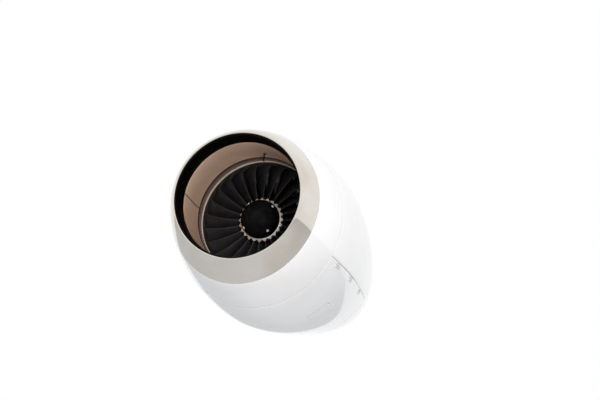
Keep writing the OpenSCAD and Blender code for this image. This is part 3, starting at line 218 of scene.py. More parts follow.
def settle(piece):
    """Turns the piece with its modifiers into a plain mesh."""
    bpy.context.view_layer.update()
    graph = bpy.context.evaluated_depsgraph_get()
    mesh = bpy.data.meshes.new_from_object(piece.evaluated_get(graph), depsgraph=graph)
    piece.modifiers.clear()
    old = piece.data
    piece.data = mesh
    bpy.data.meshes.remove(old)


def round_edges(piece, width, segments=2, angle=35):
    bevel = piece.modifiers.new("edges", "BEVEL")
    bevel.width = width
    bevel.segments = segments
    bevel.limit_method = "ANGLE"
    bevel.angle_limit = radians(angle)
    settle(piece)
    return finish_mesh(piece)


def combine(piece, other, operation="UNION"):
    """Joins, cuts or keeps the common part of two closed pieces, and uses up the other one."""
    change = piece.modifiers.new(operation, "BOOLEAN")
    change.operation = operation
    change.solver = "MANIFOLD"
    change.object = other
    settle(piece)
    bpy.data.objects.remove(other)


def join(name, pieces):
    """One object from several closed pieces that touch or stand apart."""
    shape = bmesh.new()
    for piece in pieces:
        shape.from_mesh(piece.data)
    joined = new_piece(name, [], [])
    shape.to_mesh(joined.data)
    shape.free()
    for piece in pieces:
        bpy.data.objects.remove(piece)
    return finish_mesh(joined)


def place(piece, matrix):
    piece.data.transform(matrix)
    if matrix.determinant() < 0:
        piece.data.flip_normals()
    return piece


def shell(name, outer, inner, around):
    """Closed body between two grids of points whose rows go round the axis."""
    n, m = len(outer), len(outer[0])
    last = n if around else n - 1
    points = [p for row in outer + inner for p in row]
    faces = []

    def quad(*corners):
        faces.append(tuple(side * n * m + (i % n) * m + j for i, j, side in corners))

    for i in range(last):
        for j in range(m - 1):
            quad((i, j, 0), (i + 1, j, 0), (i + 1, j + 1, 0), (i, j + 1, 0))
            quad((i, j + 1, 1), (i + 1, j + 1, 1), (i + 1, j, 1), (i, j, 1))
        quad((i + 1, 0, 0), (i, 0, 0), (i, 0, 1), (i + 1, 0, 1))
        quad((i, m - 1, 0), (i + 1, m - 1, 0), (i + 1, m - 1, 1), (i, m - 1, 1))
    if not around:
        for j in range(m - 1):
            quad((0, j, 0), (0, j + 1, 0), (0, j + 1, 1), (0, j, 1))
            quad((n - 1, j + 1, 0), (n - 1, j, 0), (n - 1, j, 1), (n - 1, j + 1, 1))
    return finish_mesh(new_piece(name, points, faces))


def between(count, n, around=False):
    """Faces between neighbours in a line of closed loops with n points each, or in a ring of them."""
    faces = []
    for k in range(count if around else count - 1):
        a, b = k * n, (k + 1) % count * n
        faces += [(a + i, b + i, b + (i + 1) % n, a + (i + 1) % n) for i in range(n)]
    return faces


def revolve(name, profile, steps=192):
    """Closed body turned round the engine's axis from a closed outline of (radius, y)."""
    points = [at(r, y, a) for a in turns(steps) for r, y in profile]
    return finish_mesh(new_piece(name, points, between(steps, len(profile), True)))


def prism(name, low, high):
    """Closed body between two like outlines."""
    n = len(low)
    ends = [tuple(range(n)), tuple(range(2 * n - 1, n - 1, -1))]
    return finish_mesh(new_piece(name, low + high, ends + between(2, n)))


def extrude(name, outline, low, high):
    """Prism along Y from an outline of (x, z)."""
    return prism(name, [(x, low, z) for x, z in outline], [(x, high, z) for x, z in outline])


def block(name, low, high):
    (x0, y0, z0), (x1, y1, z1) = low, high
    return extrude(name, [(x0, z0), (x1, z0), (x1, z1), (x0, z1)], y0, y1)


def cut_block(piece, low, high, spot=TO_ROW):
    """Cuts a block out of a closed piece."""
    combine(piece, place(block("cutter", low, high), spot), "DIFFERENCE")


def rod(name, start, end, radius, sides=24, dome=0.0):
    """Round rod between two points, with its ends rounded by a share of the radius."""
    start, end = Vector(start), Vector(end)
    along = (end - start).normalized()
    turn = along.to_track_quat("Z", "Y").to_matrix()
    length = (end - start).length
    edge = radius * dome
    stations = [(0, radius - edge), (edge * 0.3, radius - edge * 0.3), (edge, radius)] if dome else [(0, radius)]
    stations = [(-1, 0)] + stations
    profile = [(max(0, z), r) for z, r in stations] + [(length - max(0, z), r) for z, r in reversed(stations)]
    points = [start + turn @ Vector((r * cos(t), r * sin(t), z)) for z, r in profile for t in turns(sides)]
    return finish_mesh(new_piece(name, points, between(len(profile), sides)))


# Node trees
class Tree:
    """A node tree under construction, with short ways to compute values and colours."""

    def __init__(self, tree):
        self.tree = tree

    def link(self, value, socket):
        """Feeds a socket from another one, or sets its plain value."""
        if isinstance(value, bpy.types.NodeSocket):
            self.tree.links.new(value, socket)
        else:
            socket.default_value = value

    def add(self, kind, **inputs):
        made = self.tree.nodes.new(kind)
        for key, value in inputs.items():
            self.link(value, made.inputs[key.replace("_", " ")])
        return made

    def math(self, operation, *values, kind="ShaderNodeMath"):
        made = self.tree.nodes.new(kind)
        made.operation = operation
        for value, socket in zip(values, made.inputs):
            self.link(value, socket)
        return made.outputs[0]

    def times(self, first, second):
        return self.math("MULTIPLY", first, second)

    def length(self, first, second):
        return self.math("SQRT", self.math("ADD", self.times(first, first), self.times(second, second)))

    def spread(self, source, low, high, start=0.3, end=0.7):
        """Maps a mask to a range of values."""
        ends = {"From_Min": start, "From_Max": end, "To_Min": low, "To_Max": high}
        return self.add("ShaderNodeMapRange", Value=source, **ends).outputs["Result"]

    def blend(self, mask, first, second):
        """Mixes two colours, each a plain colour or a socket, by a mask."""
        mixed = self.tree.nodes.new("ShaderNodeMix")
        mixed.data_type = "RGBA"
        self.link(mask, mixed.inputs[0])
        for value, socket in ((first, mixed.inputs[6]), (second, mixed.inputs[7])):
            self.link((*value, 1) if isinstance(value, tuple) else value, socket)
        return mixed.outputs[2]


def node_group(name, kind, inputs, outputs):
    """Empty group with the named sockets, with what it is given and where its results go."""
    made = bpy.data.node_groups.new(name, kind)
    for way, sockets in (("INPUT", inputs), ("OUTPUT", outputs)):
        for title, socket in sockets.items():
            made.interface.new_socket(title, in_out=way, socket_type="NodeSocket" + socket)
    return Tree(made), made.nodes.new("NodeGroupInput").outputs, made.nodes.new("NodeGroupOutput").inputs


def copy_to_points(group, given, result, points, piece, turn):
    """Ends a group with a copy of the piece on every point, in its finish."""
    copies = group.add("GeometryNodeInstanceOnPoints", Points=points, Instance=piece, Rotation=turn)
    real = group.add("GeometryNodeRealizeInstances", Geometry=copies.outputs[0])
    finish = group.add("GeometryNodeSetMaterial", Geometry=real.outputs[0], Material=given["Finish"])
    group.link(finish.outputs[0], result[0])
    return group.tree


def copies_tree():
    """Copies a piece round the engine's axis."""
    group, given, result = node_group(
        "copies round the axis", "GeometryNodeTree",
        {"Piece": "Geometry", "Count": "Int", "Start": "Float", "Finish": "Material"}, {"Pieces": "Geometry"})
    line = group.add("GeometryNodeMeshLine", Start_Location=(AXIS_X, LIP_Y, 0), Offset=(0, 0, 0),
                     Count=given["Count"])
    share = group.math("DIVIDE", group.add("GeometryNodeInputIndex").outputs[0], given["Count"])
    turn = group.add("ShaderNodeCombineXYZ", Y=group.math("MULTIPLY_ADD", share, 2 * pi, given["Start"]))
    return copy_to_points(group, given, result, line.outputs[0], given["Piece"], turn.outputs[0])


def heads_tree():
    """Puts a flat fastener head on every point, facing the way the point faces."""
    group, given, result = node_group(
        "fastener heads", "GeometryNodeTree",
        {"Points": "Geometry", "Radius": "Float", "Height": "Float", "Sides": "Int", "Finish": "Material"},
        {"Heads": "Geometry"})
    head = group.add("GeometryNodeMeshCylinder", Vertices=given["Sides"], Radius=given["Radius"],
                     Depth=given["Height"])
    facing = group.add("GeometryNodeInputNamedAttribute", Name="facing")
    facing.data_type = "FLOAT_VECTOR"
    turn = group.add("FunctionNodeAlignRotationToVector", Vector=facing.outputs["Attribute"])
    turn.axis = "Z"
    return copy_to_points(group, given, result, given["Points"], head.outputs["Mesh"], turn.outputs[0])


COPIES = copies_tree()
HEADS = heads_tree()


def grow(piece, tree, slot, **values):
    """Runs a tree on the piece in the slot's finish and keeps the result as a plain mesh."""
    values["Finish"] = FINISHES[slot]
    run = piece.modifiers.new("grow", "NODES")
    run.node_group = tree
    for socket in tree.interface.items_tree:
        if socket.in_out == "INPUT" and socket.name in values:
            run[socket.identifier] = values[socket.name]
    settle(piece)
    return finish_mesh(piece)


# Materials. The group puts out masks and heights; each shader stays in its material.
def wear_group():
    """Soft blotches and fine marks: a mask for handling marks and a height for the surface."""
    group, given, result = node_group(
        "handling marks", "ShaderNodeTree",
        {"Blotch scale": "Float", "Grain scale": "Float", "Stretch": "Vector"},
        {"Blotches": "Float", "Grain": "Float"})
    where = group.add("ShaderNodeTexCoord").outputs["Object"]
    drawn = group.math("MULTIPLY", where, given["Stretch"], kind="ShaderNodeVectorMath")
    blotches = group.add("ShaderNodeTexNoise", Vector=where, Scale=given["Blotch scale"], Detail=4.0,
                         Roughness=0.55)
    grain = group.add("ShaderNodeTexNoise", Vector=drawn, Scale=given["Grain scale"], Detail=3.0,
                      Roughness=0.6)
    group.link(blotches.outputs["Fac"], result["Blotches"])
    group.link(grain.outputs["Fac"], result["Grain"])
    return group.tree


MARKS = wear_group()
FINISHES = {}


class Finish(Tree):
    """A material of FINISHES: its shader, its handling marks and short ways to use both."""

    def __init__(self, name, colour, roughness, metallic, blotch, grain, stretch=(1, 1, 1), **plain):
        material = FINISHES[name] = bpy.data.materials.new(name)
        material.use_nodes = True
        material.diffuse_color = (*colour, 1)
        super().__init__(material.node_tree)
        self.shader = self.tree.nodes["Principled BSDF"]
        self.colour = colour
        plain.update(Base_Color=(*colour, 1), Roughness=roughness, Metallic=metallic)
        for key, value in plain.items():
            self.feed(value, key.replace("_", " "))
        marks = self.tree.nodes.new("ShaderNodeGroup")
        marks.node_tree = MARKS
        for socket, value in zip(marks.inputs, (blotch, grain, stretch)):
            socket.default_value = value
        self.blotches, self.grain = marks.outputs["Blotches"], marks.outputs["Grain"]

    def axes(self, piece_map=None):
        """X, Y and Z of the object coordinates, or of the piece's own UV map."""
        where = self.tree.nodes.new("ShaderNodeUVMap" if piece_map else "ShaderNodeTexCoord")
        if piece_map:
            where.uv_map = piece_map
        split = self.add("ShaderNodeSeparateXYZ", Vector=where.outputs["UV" if piece_map else "Object"])
        return split.outputs[0], split.outputs[1], split.outputs[2]

    def round_axis(self):
        """Distance from the engine's axis in the object coordinates."""
        x, _, z = self.axes()
        return self.length(self.math("SUBTRACT", x, AXIS_X), z)

    def feed(self, value, socket):
        self.link(value, self.shader.inputs[socket])

    def bump(self, height, distance):
        made = self.add("ShaderNodeBump", Strength=1.0, Distance=distance, Height=height)
        self.feed(made.outputs[0], "Normal")

    def worn(self, low, high, distance):
        """Roughness between two values and a slight bump, both by the grain."""
        self.feed(self.spread(self.grain, low, high), "Roughness")
        self.bump(self.grain, distance)

    def marked(self, tint, low, high, distance):
        """Colour by the blotches, and roughness and bump by the grain."""
        mask = self.spread(self.blotches, 0, 1, 0.35, 0.68)
        self.feed(self.blend(mask, self.colour, tint), "Base Color")
        self.worn(low, high, distance)


def polished_lip():
    """Bare polished metal, with warm blotches that are partly bronze tone and partly painted warm reflection, and
    a near-black band inside the lip that is a painted reflection of the dark inlet.
    """
    lip = Finish("lip_metal", (0.71, 0.67, 0.61), 0.06, 1.0, 2.2, 26, (1, 7, 1))
    # Warm blotches: partly a bronze tone of the metal and partly a painted warm reflection.
    tint = lip.blend(lip.spread(lip.blotches, 0, 1, 0.4, 0.7), (0.76, 0.73, 0.68), (0.66, 0.60, 0.52))
    _, y, _ = lip.axes()
    # Near-black band inside the lip: a painted reflection of the dark inlet and fan.
    inside = lip.times(lip.spread(lip.round_axis(), 1, 0, LIP_R - 0.008, LIP_R - 0.006),
                       lip.spread(y, 1, 0, LIP_Y + 0.23, LIP_Y + 0.24))
    lip.feed(lip.blend(inside, tint, (0.030, 0.026, 0.024)), "Base Color")
    lip.feed(lip.math("ADD", lip.spread(lip.grain, 0.03, 0.08), lip.times(inside, 0.25)), "Roughness")
    lip.bump(lip.grain, 0.00012)


BARREL_MAP = 1.2


def barrel_paint():
    """Warm paint with painted shade towards the bottom, fine perforation and two dark splices along the barrel.
    """
    paint = Finish("barrel_paint", (0.66, 0.44, 0.31), 0.38, 0.0, 3.0, 60, Coat_Weight=0.25, Coat_Roughness=0.2)
    turned, along, _ = paint.axes("perforation")
    pitch = 0.005
    cells = [paint.math("SUBTRACT", paint.math("FRACT", paint.math("DIVIDE", axis, pitch)), 0.5)
             for axis in (turned, along)]
    holed = paint.times(paint.spread(paint.length(*cells), 1, 0, 0.17, 0.24),
                        paint.spread(along, 0, 1, 0.215, 0.225))
    holed = paint.times(holed, paint.spread(along, 1, 0, 0.655, 0.665))
    mask = paint.spread(paint.blotches, 0, 1, 0.35, 0.7)
    colour = paint.blend(mask, (0.74, 0.55, 0.43), (0.62, 0.44, 0.33))
    colour = paint.blend(paint.times(holed, 0.6), colour, (0.16, 0.11, 0.09))
    # Painted shade: the colour darkens towards the bottom of the barrel.
    _, _, z = paint.axes()
    colour = paint.blend(paint.spread(z, 0.6, 0, -0.5, 0.1), colour, (0.27, 0.12, 0.06))
    past = paint.math("SUBTRACT", paint.math("ABSOLUTE", turned), BARREL_MAP * pi / 2)
    splice = paint.spread(paint.math("ABSOLUTE", past), 1, 0, 0.010, 0.014)
    paint.feed(paint.blend(splice, colour, (0.07, 0.045, 0.04)), "Base Color")
    paint.feed(paint.spread(paint.grain, 0.33, 0.45), "Roughness")
    paint.bump(paint.math("SUBTRACT", 1.0, holed), 0.0006)


def track_lining():
    """Dark, brown and bright bands in front of the blades, and the rub strip at their tips."""
    lining = Finish("track_lining", (0.42, 0.36, 0.31), 0.5, 0.0, 9.0, 90)
    _, y, _ = lining.axes()
    colour = (0.035, 0.028, 0.024)
    for start, end, band in ((0.712, 0.716, (0.20, 0.15, 0.125)), (0.780, 0.783, (0.95, 0.83, 0.70)),
                             (0.814, 0.820, (0.035, 0.03, 0.028))):
        colour = lining.blend(lining.spread(y, 0, 1, LIP_Y + start, LIP_Y + end), colour, band)
    mask = lining.spread(lining.blotches, 0, 0.35, 0.35, 0.7)
    lining.feed(lining.blend(mask, colour, (0.12, 0.10, 0.09)), "Base Color")
    lining.worn(0.38, 0.6, 0.0002)


def blade_coat():
    """Dark coat with a bright leading edge, partly a worn sheath and partly a painted highlight, drawn on the
    blade's own map.
    """
    coat = Finish("blade_coat", (0.016, 0.016, 0.019), 0.4, 0.2, 14.0, 160, Coat_Weight=0.12, Coat_Roughness=0.2)
    chord, span, _ = coat.axes("blade")
    mask = coat.spread(coat.blotches, 0, 1, 0.35, 0.7)
    colour = coat.blend(mask, (0.012, 0.012, 0.015), (0.022, 0.022, 0.026))
    # Bright leading edge: a worn sheath, and a painted highlight that is brightest at the root and fades towards
    # the tip.
    edge = coat.spread(coat.math("ADD", chord, coat.times(coat.grain, 0.006)), 1, 0, 0.006, 0.018)
    edge = coat.times(edge, coat.spread(span, 1, 0.2, 0.0, 0.7))
    coat.feed(coat.blend(edge, colour, (0.17, 0.16, 0.165)), "Base Color")
    coat.feed(coat.math("MULTIPLY_ADD", edge, 0.5, 0.2), "Metallic")
    coat.worn(0.36, 0.5, 0.0001)


def ring_alloy():
    """Painted highlight as a thin bright line at the front of the ring, and a near-black painted reflection round
    it.
    """
    ring = Finish("ring_alloy", (0.30, 0.30, 0.31), 0.3, 1.0, 9, 120)
    # Painted highlight: a thin bright line near the front of the ring; the rest is a near-black painted
    # reflection.
    painted_highlight = ring.spread(ring.round_axis(), 1, 0, SPINNER_R + 0.0085, SPINNER_R + 0.0095)
    ring.feed(ring.blend(painted_highlight, (0.030, 0.028, 0.028), (0.86, 0.84, 0.83)), "Base Color")
    ring.worn(0.22, 0.36, 0.0001)


def heat_tinted():
    """Hot-section alloy, straw to blue and brown along the gas path."""
    hot = Finish("hot_alloy", (0.45, 0.36, 0.28), 0.38, 1.0, 6, 50)
    _, y, _ = hot.axes()
    drift = hot.math("ADD", y, hot.times(hot.blotches, 0.25))
    bands = hot.add("ShaderNodeValToRGB", Fac=hot.spread(drift, 0, 1, 1.6, 2.4))
    ramp = bands.color_ramp
    stops = ((0.0, (0.34, 0.27, 0.21)), (0.35, (0.50, 0.39, 0.27)), (0.6, (0.40, 0.30, 0.30)),
             (0.8, (0.27, 0.29, 0.38)), (1.0, (0.40, 0.34, 0.28)))
    while len(ramp.elements) < len(stops):
        ramp.elements.new(0.5)
    for element, (position, colour) in zip(ramp.elements, stops):
        element.position = position
        element.color = (*colour, 1)
    hot.feed(bands.outputs["Color"], "Base Color")
    hot.worn(0.3, 0.5, 0.0002)


def woven_duct():
    """Bonded fibre sheet with a square weave under clear resin."""
    duct = Finish("duct_composite", (0.20, 0.185, 0.165), 0.42, 0.0, 5, 70, Coat_Weight=0.3, Coat_Roughness=0.15)
    where = duct.add("ShaderNodeTexCoord").outputs["Object"]
    weave = duct.add("ShaderNodeTexChecker", Scale=160.0, Vector=where).outputs["Fac"]
    mask = duct.times(weave, duct.spread(duct.blotches, 0.2, 0.6))
    duct.feed(duct.blend(mask, (0.19, 0.175, 0.155), (0.26, 0.24, 0.21)), "Base Color")
    duct.feed(duct.spread(duct.grain, 0.35, 0.5), "Roughness")
    duct.bump(weave, 0.0001)


def shade(colour, factor):
    return tuple(c * factor for c in colour)


def metal(name, colour, roughness, grain=60.0, stretch=(1, 1, 1), bump=0.0002, metallic=1.0):
    """A worked metal with blotches, grain and a slight bump."""
    made = Finish(name, colour, roughness, metallic, 8.0, grain, stretch)
    made.marked(shade(colour, 0.8), roughness * 0.75, roughness * 1.3, bump)


def coated(name, colour, roughness, **plain):
    """A painted, moulded or bonded surface."""
    made = Finish(name, colour, roughness, 0.0, 5.0, 80.0, **plain)
    made.marked(shade(colour, 0.85), roughness * 0.8, roughness * 1.25, 0.0002)


for build in (polished_lip, barrel_paint, track_lining, blade_coat, ring_alloy, heat_tinted, woven_duct):
    build()
Finish("nacelle_paint", (0.84, 0.85, 0.87), 0.3, 0.0, 1.6, 210, Coat_Weight=1.0, Coat_Roughness=0.025,
       Coat_IOR=1.85).marked((0.80, 0.80, 0.805), 0.26, 0.34, 0.00004)
Finish("spinner_coat", (0.002, 0.002, 0.003), 0.3, 0.0, 12, 180, Specular_IOR_Level=0.06).marked(
    (0.007, 0.007, 0.008), 0.26, 0.36, 0.00005)
coated("primer", (0.42, 0.44, 0.27), 0.55)
coated("control_paint", (0.09, 0.095, 0.10), 0.5)
coated("tank_paint", (0.62, 0.62, 0.60), 0.38, Coat_Weight=0.4, Coat_Roughness=0.1)
# Spinner screw heads: nickel screws whose near-white, barely metallic colour is a painted glint.
metal("screw_nickel", (0.95, 0.94, 0.93), 0.35, bump=0.0001, metallic=0.15)
metal("case_alloy", (0.60, 0.61, 0.63), 0.36, grain=90)
metal("bearing_steel", (0.62, 0.62, 0.63), 0.22, grain=140)
metal("rotor_alloy", (0.46, 0.46, 0.48), 0.33, grain=110)
metal("vane_alloy", (0.42, 0.42, 0.43), 0.34, grain=90)
metal("accessory_alloy", (0.52, 0.53, 0.53), 0.52, grain=200, bump=0.0005)
metal("mount_steel", (0.30, 0.30, 0.31), 0.45, grain=90, bump=0.0004)
metal("fastener_steel", (0.66, 0.65, 0.63), 0.3, grain=200)
metal("latch_steel", (0.86, 0.85, 0.84), 0.3, grain=150, stretch=(1, 6, 1), metallic=0.6)
metal("probe_metal", (0.10, 0.10, 0.10), 0.4, grain=150)

# CAD nodes that some piece stands for
STOOD_FOR = set()


def dress(piece, slot, body, *nodes, finish=None):
    """Gives the piece its finish and body, and names the CAD nodes that it stands for."""
    piece.data.materials.clear()
    piece.data.materials.append(FINISHES[finish or slot])
    for face in piece.data.polygons:
        face.material_index = 0
    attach(piece, body)
    if nodes:
        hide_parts(*nodes)
        STOOD_FOR.update(nodes)


# Inlet
ROUND = turns(240)


def polished_lip_ring():
    """Sheet of even thickness, bent from the throat round the lip to the outer skin."""
    behind = (LIP_INSIDE - THROAT_Y) / 2
    bend, outside = 16, 30

    def section(a):
        ys = [LIP_INSIDE, LIP_INSIDE - behind]
        ys += [THROAT_Y * (1 - cos(pi / 2 * k / bend)) for k in range(bend, 0, -1)]
        line = [(inlet_r(y), y) for y in ys] + [(LIP_R, 0)]
        ys = [LIP_OUTSIDE * (k / outside) ** 2 for k in range(1, outside + 1)]
        return line + [(skin_r(y, a), y) for y in ys]

    def inset(line):
        result = []
        for k, (r, y) in enumerate(line):
            if k in (0, len(line) - 1):
                result.append((r + (-WALL if k else WALL), y))
                continue
            dr, dy = line[k + 1][0] - line[k - 1][0], line[k + 1][1] - line[k - 1][1]
            size = sqrt(dr * dr + dy * dy)
            result.append((r - dy / size * WALL, y + dr / size * WALL))
        return result

    lip = shell("polished_lip", rings(ROUND, section), rings(ROUND, lambda a: inset(section(a))), True)
    dress(round_edges(lip, 0.0006, 1, 50), "lip_metal", "nacelle", "nose_lip")


def skin_ring(name, stations):
    """Full ring of skin through stations of (y outside, y inside, inset)."""
    outer = rings(ROUND, lambda a: [(skin_r(y, a) - inset, y) for y, _, inset in stations])
    inner = rings(ROUND, lambda a: [(skin_r(y, a) - (inset + WALL), y) for _, y, inset in stations])
    return round_edges(shell(name, outer, inner, True), 0.0008, 2, 40)


def inlet_skin():
    """Skin behind the lip, with the land that the doors close over."""
    stations = [(y, y, 0) for y in spaced(LIP_OUTSIDE + SEAM, SKIN_END, 24)[:-1]]
    stations += [(SKIN_END, SKIN_END - WALL, inset) for inset in (0, LAND_INSET)]
    stations.append((SKIN_END + LAND_LEN, SKIN_END + LAND_LEN, LAND_INSET))
    dress(skin_ring("inlet_skin", stations), "nacelle_paint", "nacelle", "inlet_outer_barrel")


def barrel_lining():
    """Bore of the barrel with its own map for the perforation: BARREL_MAP per radian, and metres along."""
    flange_r, flange_y, thick = 0.674, BARREL_END - 0.014, 0.028
    bore = [(inlet_r(y), y) for y in spaced(LIP_INSIDE + SEAM, BARREL_END, 24)]
    flange = [(flange_r, BARREL_END), (flange_r, flange_y), (inlet_r(flange_y) + thick, flange_y)]
    back = [(r + thick, y) for r, y in reversed(bore[:-1])]
    barrel = round_edges(revolve("inlet_barrel", bore + flange + back), 0.0008, 1, 50)
    chart = barrel.data.uv_layers.new(name="perforation")

    def angle_of(p):
        return Vector((0, 1)).angle_signed(Vector((p.x - AXIS_X, p.z)))

    for face in barrel.data.polygons:
        middle = angle_of(face.center)
        for corner in face.loop_indices:
            p = barrel.data.vertices[barrel.data.loops[corner].vertex_index].co
            angle = angle_of(p)
            angle += 2 * pi * round((middle - angle) / (2 * pi))
            chart.data[corner].uv = (angle * BARREL_MAP, p.y - LIP_Y)
    dress(barrel, "barrel_paint", "nacelle", "inlet_inner_barrel")


def case_linings():
    linings = (
        ("front_lining", "front_acoustic_panel", 0.6803, 0.7605, 0.616),
        ("tip_track", "fan_track", 0.7615, 1.0325, TRACK_R),
        ("rear_lining", "rear_acoustic_panel", 1.0335, 1.1797, TRACK_R),
    )
    for name, cad, start, end, radius in linings:
        ring = revolve(name, [(radius, start), (radius, end), (LINING_R, end), (LINING_R, start)], 240)
        dress(round_edges(ring, 0.0012, 2, 50), "track_lining", "nacelle", cad)


def air_probe():
    """Short mast with a streamlined section, a tube on its tip and a foot with screws."""
    y, foot_w, foot_len, mast_len = 0.56, 0.011, 0.028, 0.070
    foot = inlet_r(y - foot_len) - 0.0006
    tip = foot - mast_len
    outline = [(0.0045 * sin(t), y - 0.017 * cos(t)) for t in turns(20)]
    mast = prism("mast", *[[(x, v, z) for x, v in outline] for z in (tip, foot - 0.002)])
    base = round_edges(block("base", (-foot_w, y - foot_len, foot - 0.003), (foot_w, y + foot_len, foot)), 0.0012)
    tube = rod("tube", (0, y - 0.030, tip - 0.002), (0, y + 0.026, tip - 0.002), 0.006, 20, 0.8)
    screws = [rod("screw", (x, y + v, foot - 0.0042), (x, y + v, foot - 0.0028), 0.0024, 10)
              for x in (-0.0075, 0.0075) for v in (-0.022, 0.022)]
    probe = join("air_probe", [mast, base, tube] + screws)
    dress(place(probe, TO_ROW), "probe_metal", "nacelle", "inlet_probe")


# Fan
def blade_loop(s):
    """Airfoil round the blade at a share of its span, with the map's chord for each point."""
    chord = mix(HUB_CHORD, TIP_CHORD, s)
    stagger = mix(HUB_STAGGER, TIP_STAGGER, s)
    bow = chord * mix(0.075, 0.02, s)
    thick = mix(0.017, 0.005, s)
    mid = mix(BLADE_MID_HUB, BLADE_MID_TIP, smooth(s))

    def spot(u, side):
        rise = 4 * u * (1 - u)
        along = (u - 0.5) * chord
        off = bow * rise + side * thick / 2 * rise ** 0.6
        across = along * sin(stagger) + off * cos(stagger)
        y = mid + along * cos(stagger) - off * sin(stagger)
        r = mix(hub_r(y), TIP_R, s)
        return polar(r, y, across / r - TIP_LEAN * s * s)

    us = [0.5 - 0.5 * cos(pi * k / BLADE_STEPS) for k in range(BLADE_STEPS + 1)]
    return [(spot(u, 1), u) for u in us] + [(spot(u, -1), u) for u in reversed(us[1:-1])]


def fan():
    """Blades lofted from inside the hub to their tips, each on a foot in the disc."""
    spans = spaced(0, 1, BLADE_ROWS)
    loops = [blade_loop(s) for s in spans]
    sunk = []
    for p, u in loops[0]:
        r = sqrt(p.x ** 2 + p.z ** 2)
        sunk.append((Vector((p.x * ROOT_R / r, p.y, p.z * ROOT_R / r)), u))
    rows = [sunk] + loops
    n = len(sunk)
    faces = between(len(rows), n)
    for k in (0, len(rows) - 1):
        for i in range(n // 2):
            a, b = k * n + i, k * n + i + 1
            c, d = k * n + (n - i - 1) % n, k * n + (n - i) % n
            corners = tuple(dict.fromkeys((a, b, c, d) if k else (d, c, b, a)))
            if len(corners) > 2:
                faces.append(corners)
    blade = new_piece("fan_blade_set", [p for row in rows for p, _ in row], faces)
    chords = [u for row in rows for _, u in row]
    levels = [s for s in [0.0] + spans for _ in range(n)]
    chart = blade.data.uv_layers.new(name="blade")
    for loop in blade.data.loops:
        chart.data[loop.index].uv = (chords[loop.vertex_index], levels[loop.vertex_index])
    finish_mesh(blade, 40)
    foot = block("foot", (0.2003, -0.07, -0.017), (0.2143, 0.07, 0.017))
    place(foot, Matrix.Translation((0, DISC_FRONT + DISC_HALF, 0)) @ Matrix.Rotation(HUB_STAGGER, 4, "X"))
    blades = grow(blade, COPIES, "blade_coat", Count=BLADES, Start=0.0)
    feet = grow(foot, COPIES, "rotor_alloy", Count=BLADES, Start=0.0)
    dress(blades, "blade_coat", "low_rotor", "fan_blades")
    feet.name = "blade_feet"
    dress(feet, "rotor_alloy", "low_rotor")


def platforms():
    """Filler between one blade's convex side and the next one's hollow side."""
    loop = [p for p, _ in blade_loop(0)]
    half = len(loop) // 2
    gap, thick, across = 0.0009, 0.008, 8
    low, high = [[(p.y, atan2(p.z, p.x)) for p in side]
                 for side in (loop[:half + 1], [loop[-k] for k in range(half + 1)])]
    outer, inner = [], []
    for (y0, a0), (y1, a1) in zip(low, high):
        spots = []
        for t in spaced(0, 1, across):
            y = mix(y0, y1, t)
            r = hub_r(y)
            spots.append((r, y, mix(a0 + gap / r, PITCH + a1 - gap / r, t)))
        outer.append([polar(r, y, a) for r, y, a in spots])
        inner.append([polar(r - thick, y, a) for r, y, a in spots])
    filler = round_edges(shell("blade_platforms", outer, inner, False), 0.0012, 2, 50)
    fillers = grow(filler, COPIES, "ring_alloy", Count=BLADES, Start=0.0)
    dress(fillers, "ring_alloy", "low_rotor", "annulus_fillers")


def spinner_dome():
    """Dome with four domed screws in their seats."""
    wall, screw_at = 0.004, 0.179

    def dome(r, length):
        return [(r * sin(pi / 2 * k / 40), SPINNER_BASE - length * cos(pi / 2 * k / 40)) for k in range(41)]

    outside, inside = dome(SPINNER_R, SPINNER_LEN), dome(SPINNER_R - wall, SPINNER_LEN - wall)
    cap = round_edges(revolve("spinner_dome", outside + inside[::-1], 160), 0.0008, 2, 60)
    dress(cap, "spinner_coat", "low_rotor", "spinner")
    u = asin(screw_at / SPINNER_R)
    out = Vector((sin(u) / SPINNER_R, -cos(u) / SPINNER_LEN)).normalized()
    screws, seats = [], []
    for a in (radians(45 + 90 * k) for k in range(4)):
        normal = polar(out.x, out.y, a)
        spot = at(screw_at, SPINNER_BASE - SPINNER_LEN * cos(u), a)
        start = spot - normal * 0.003
        screws.append(rod("screw", start, spot + normal * 0.0075, 0.0135, 24, 0.55))
        seats.append(rod("socket", start, spot + normal * 0.0005, 0.0165, 24, 0.1))
    dress(join("spinner_screws", screws), "latch_steel", "low_rotor", finish="screw_nickel")
    dress(join("spinner_screw_seats", seats), "probe_metal", "low_rotor")


def bright_ring():
    front, rear, disc = SPINNER_BASE + RING_GAP, HUB_FRONT - RING_GAP, DISC_FRONT - RING_GAP
    bore, step = SPINNER_R - 0.030, SPINNER_R - 0.024
    profile = [
        (bore, front), (SPINNER_R, front), (SPINNER_R + 0.004, front + 0.0015),
        (HUB_R - 0.002, rear - 0.0045), (HUB_R - 0.001, rear - 0.003), (HUB_R - 0.001, rear),
        (step, rear), (step, disc), (bore, disc),
    ]
    dress(round_edges(revolve("bright_ring", profile), 0.0006, 2, 40), "ring_alloy", "low_rotor", "spinner_ring")


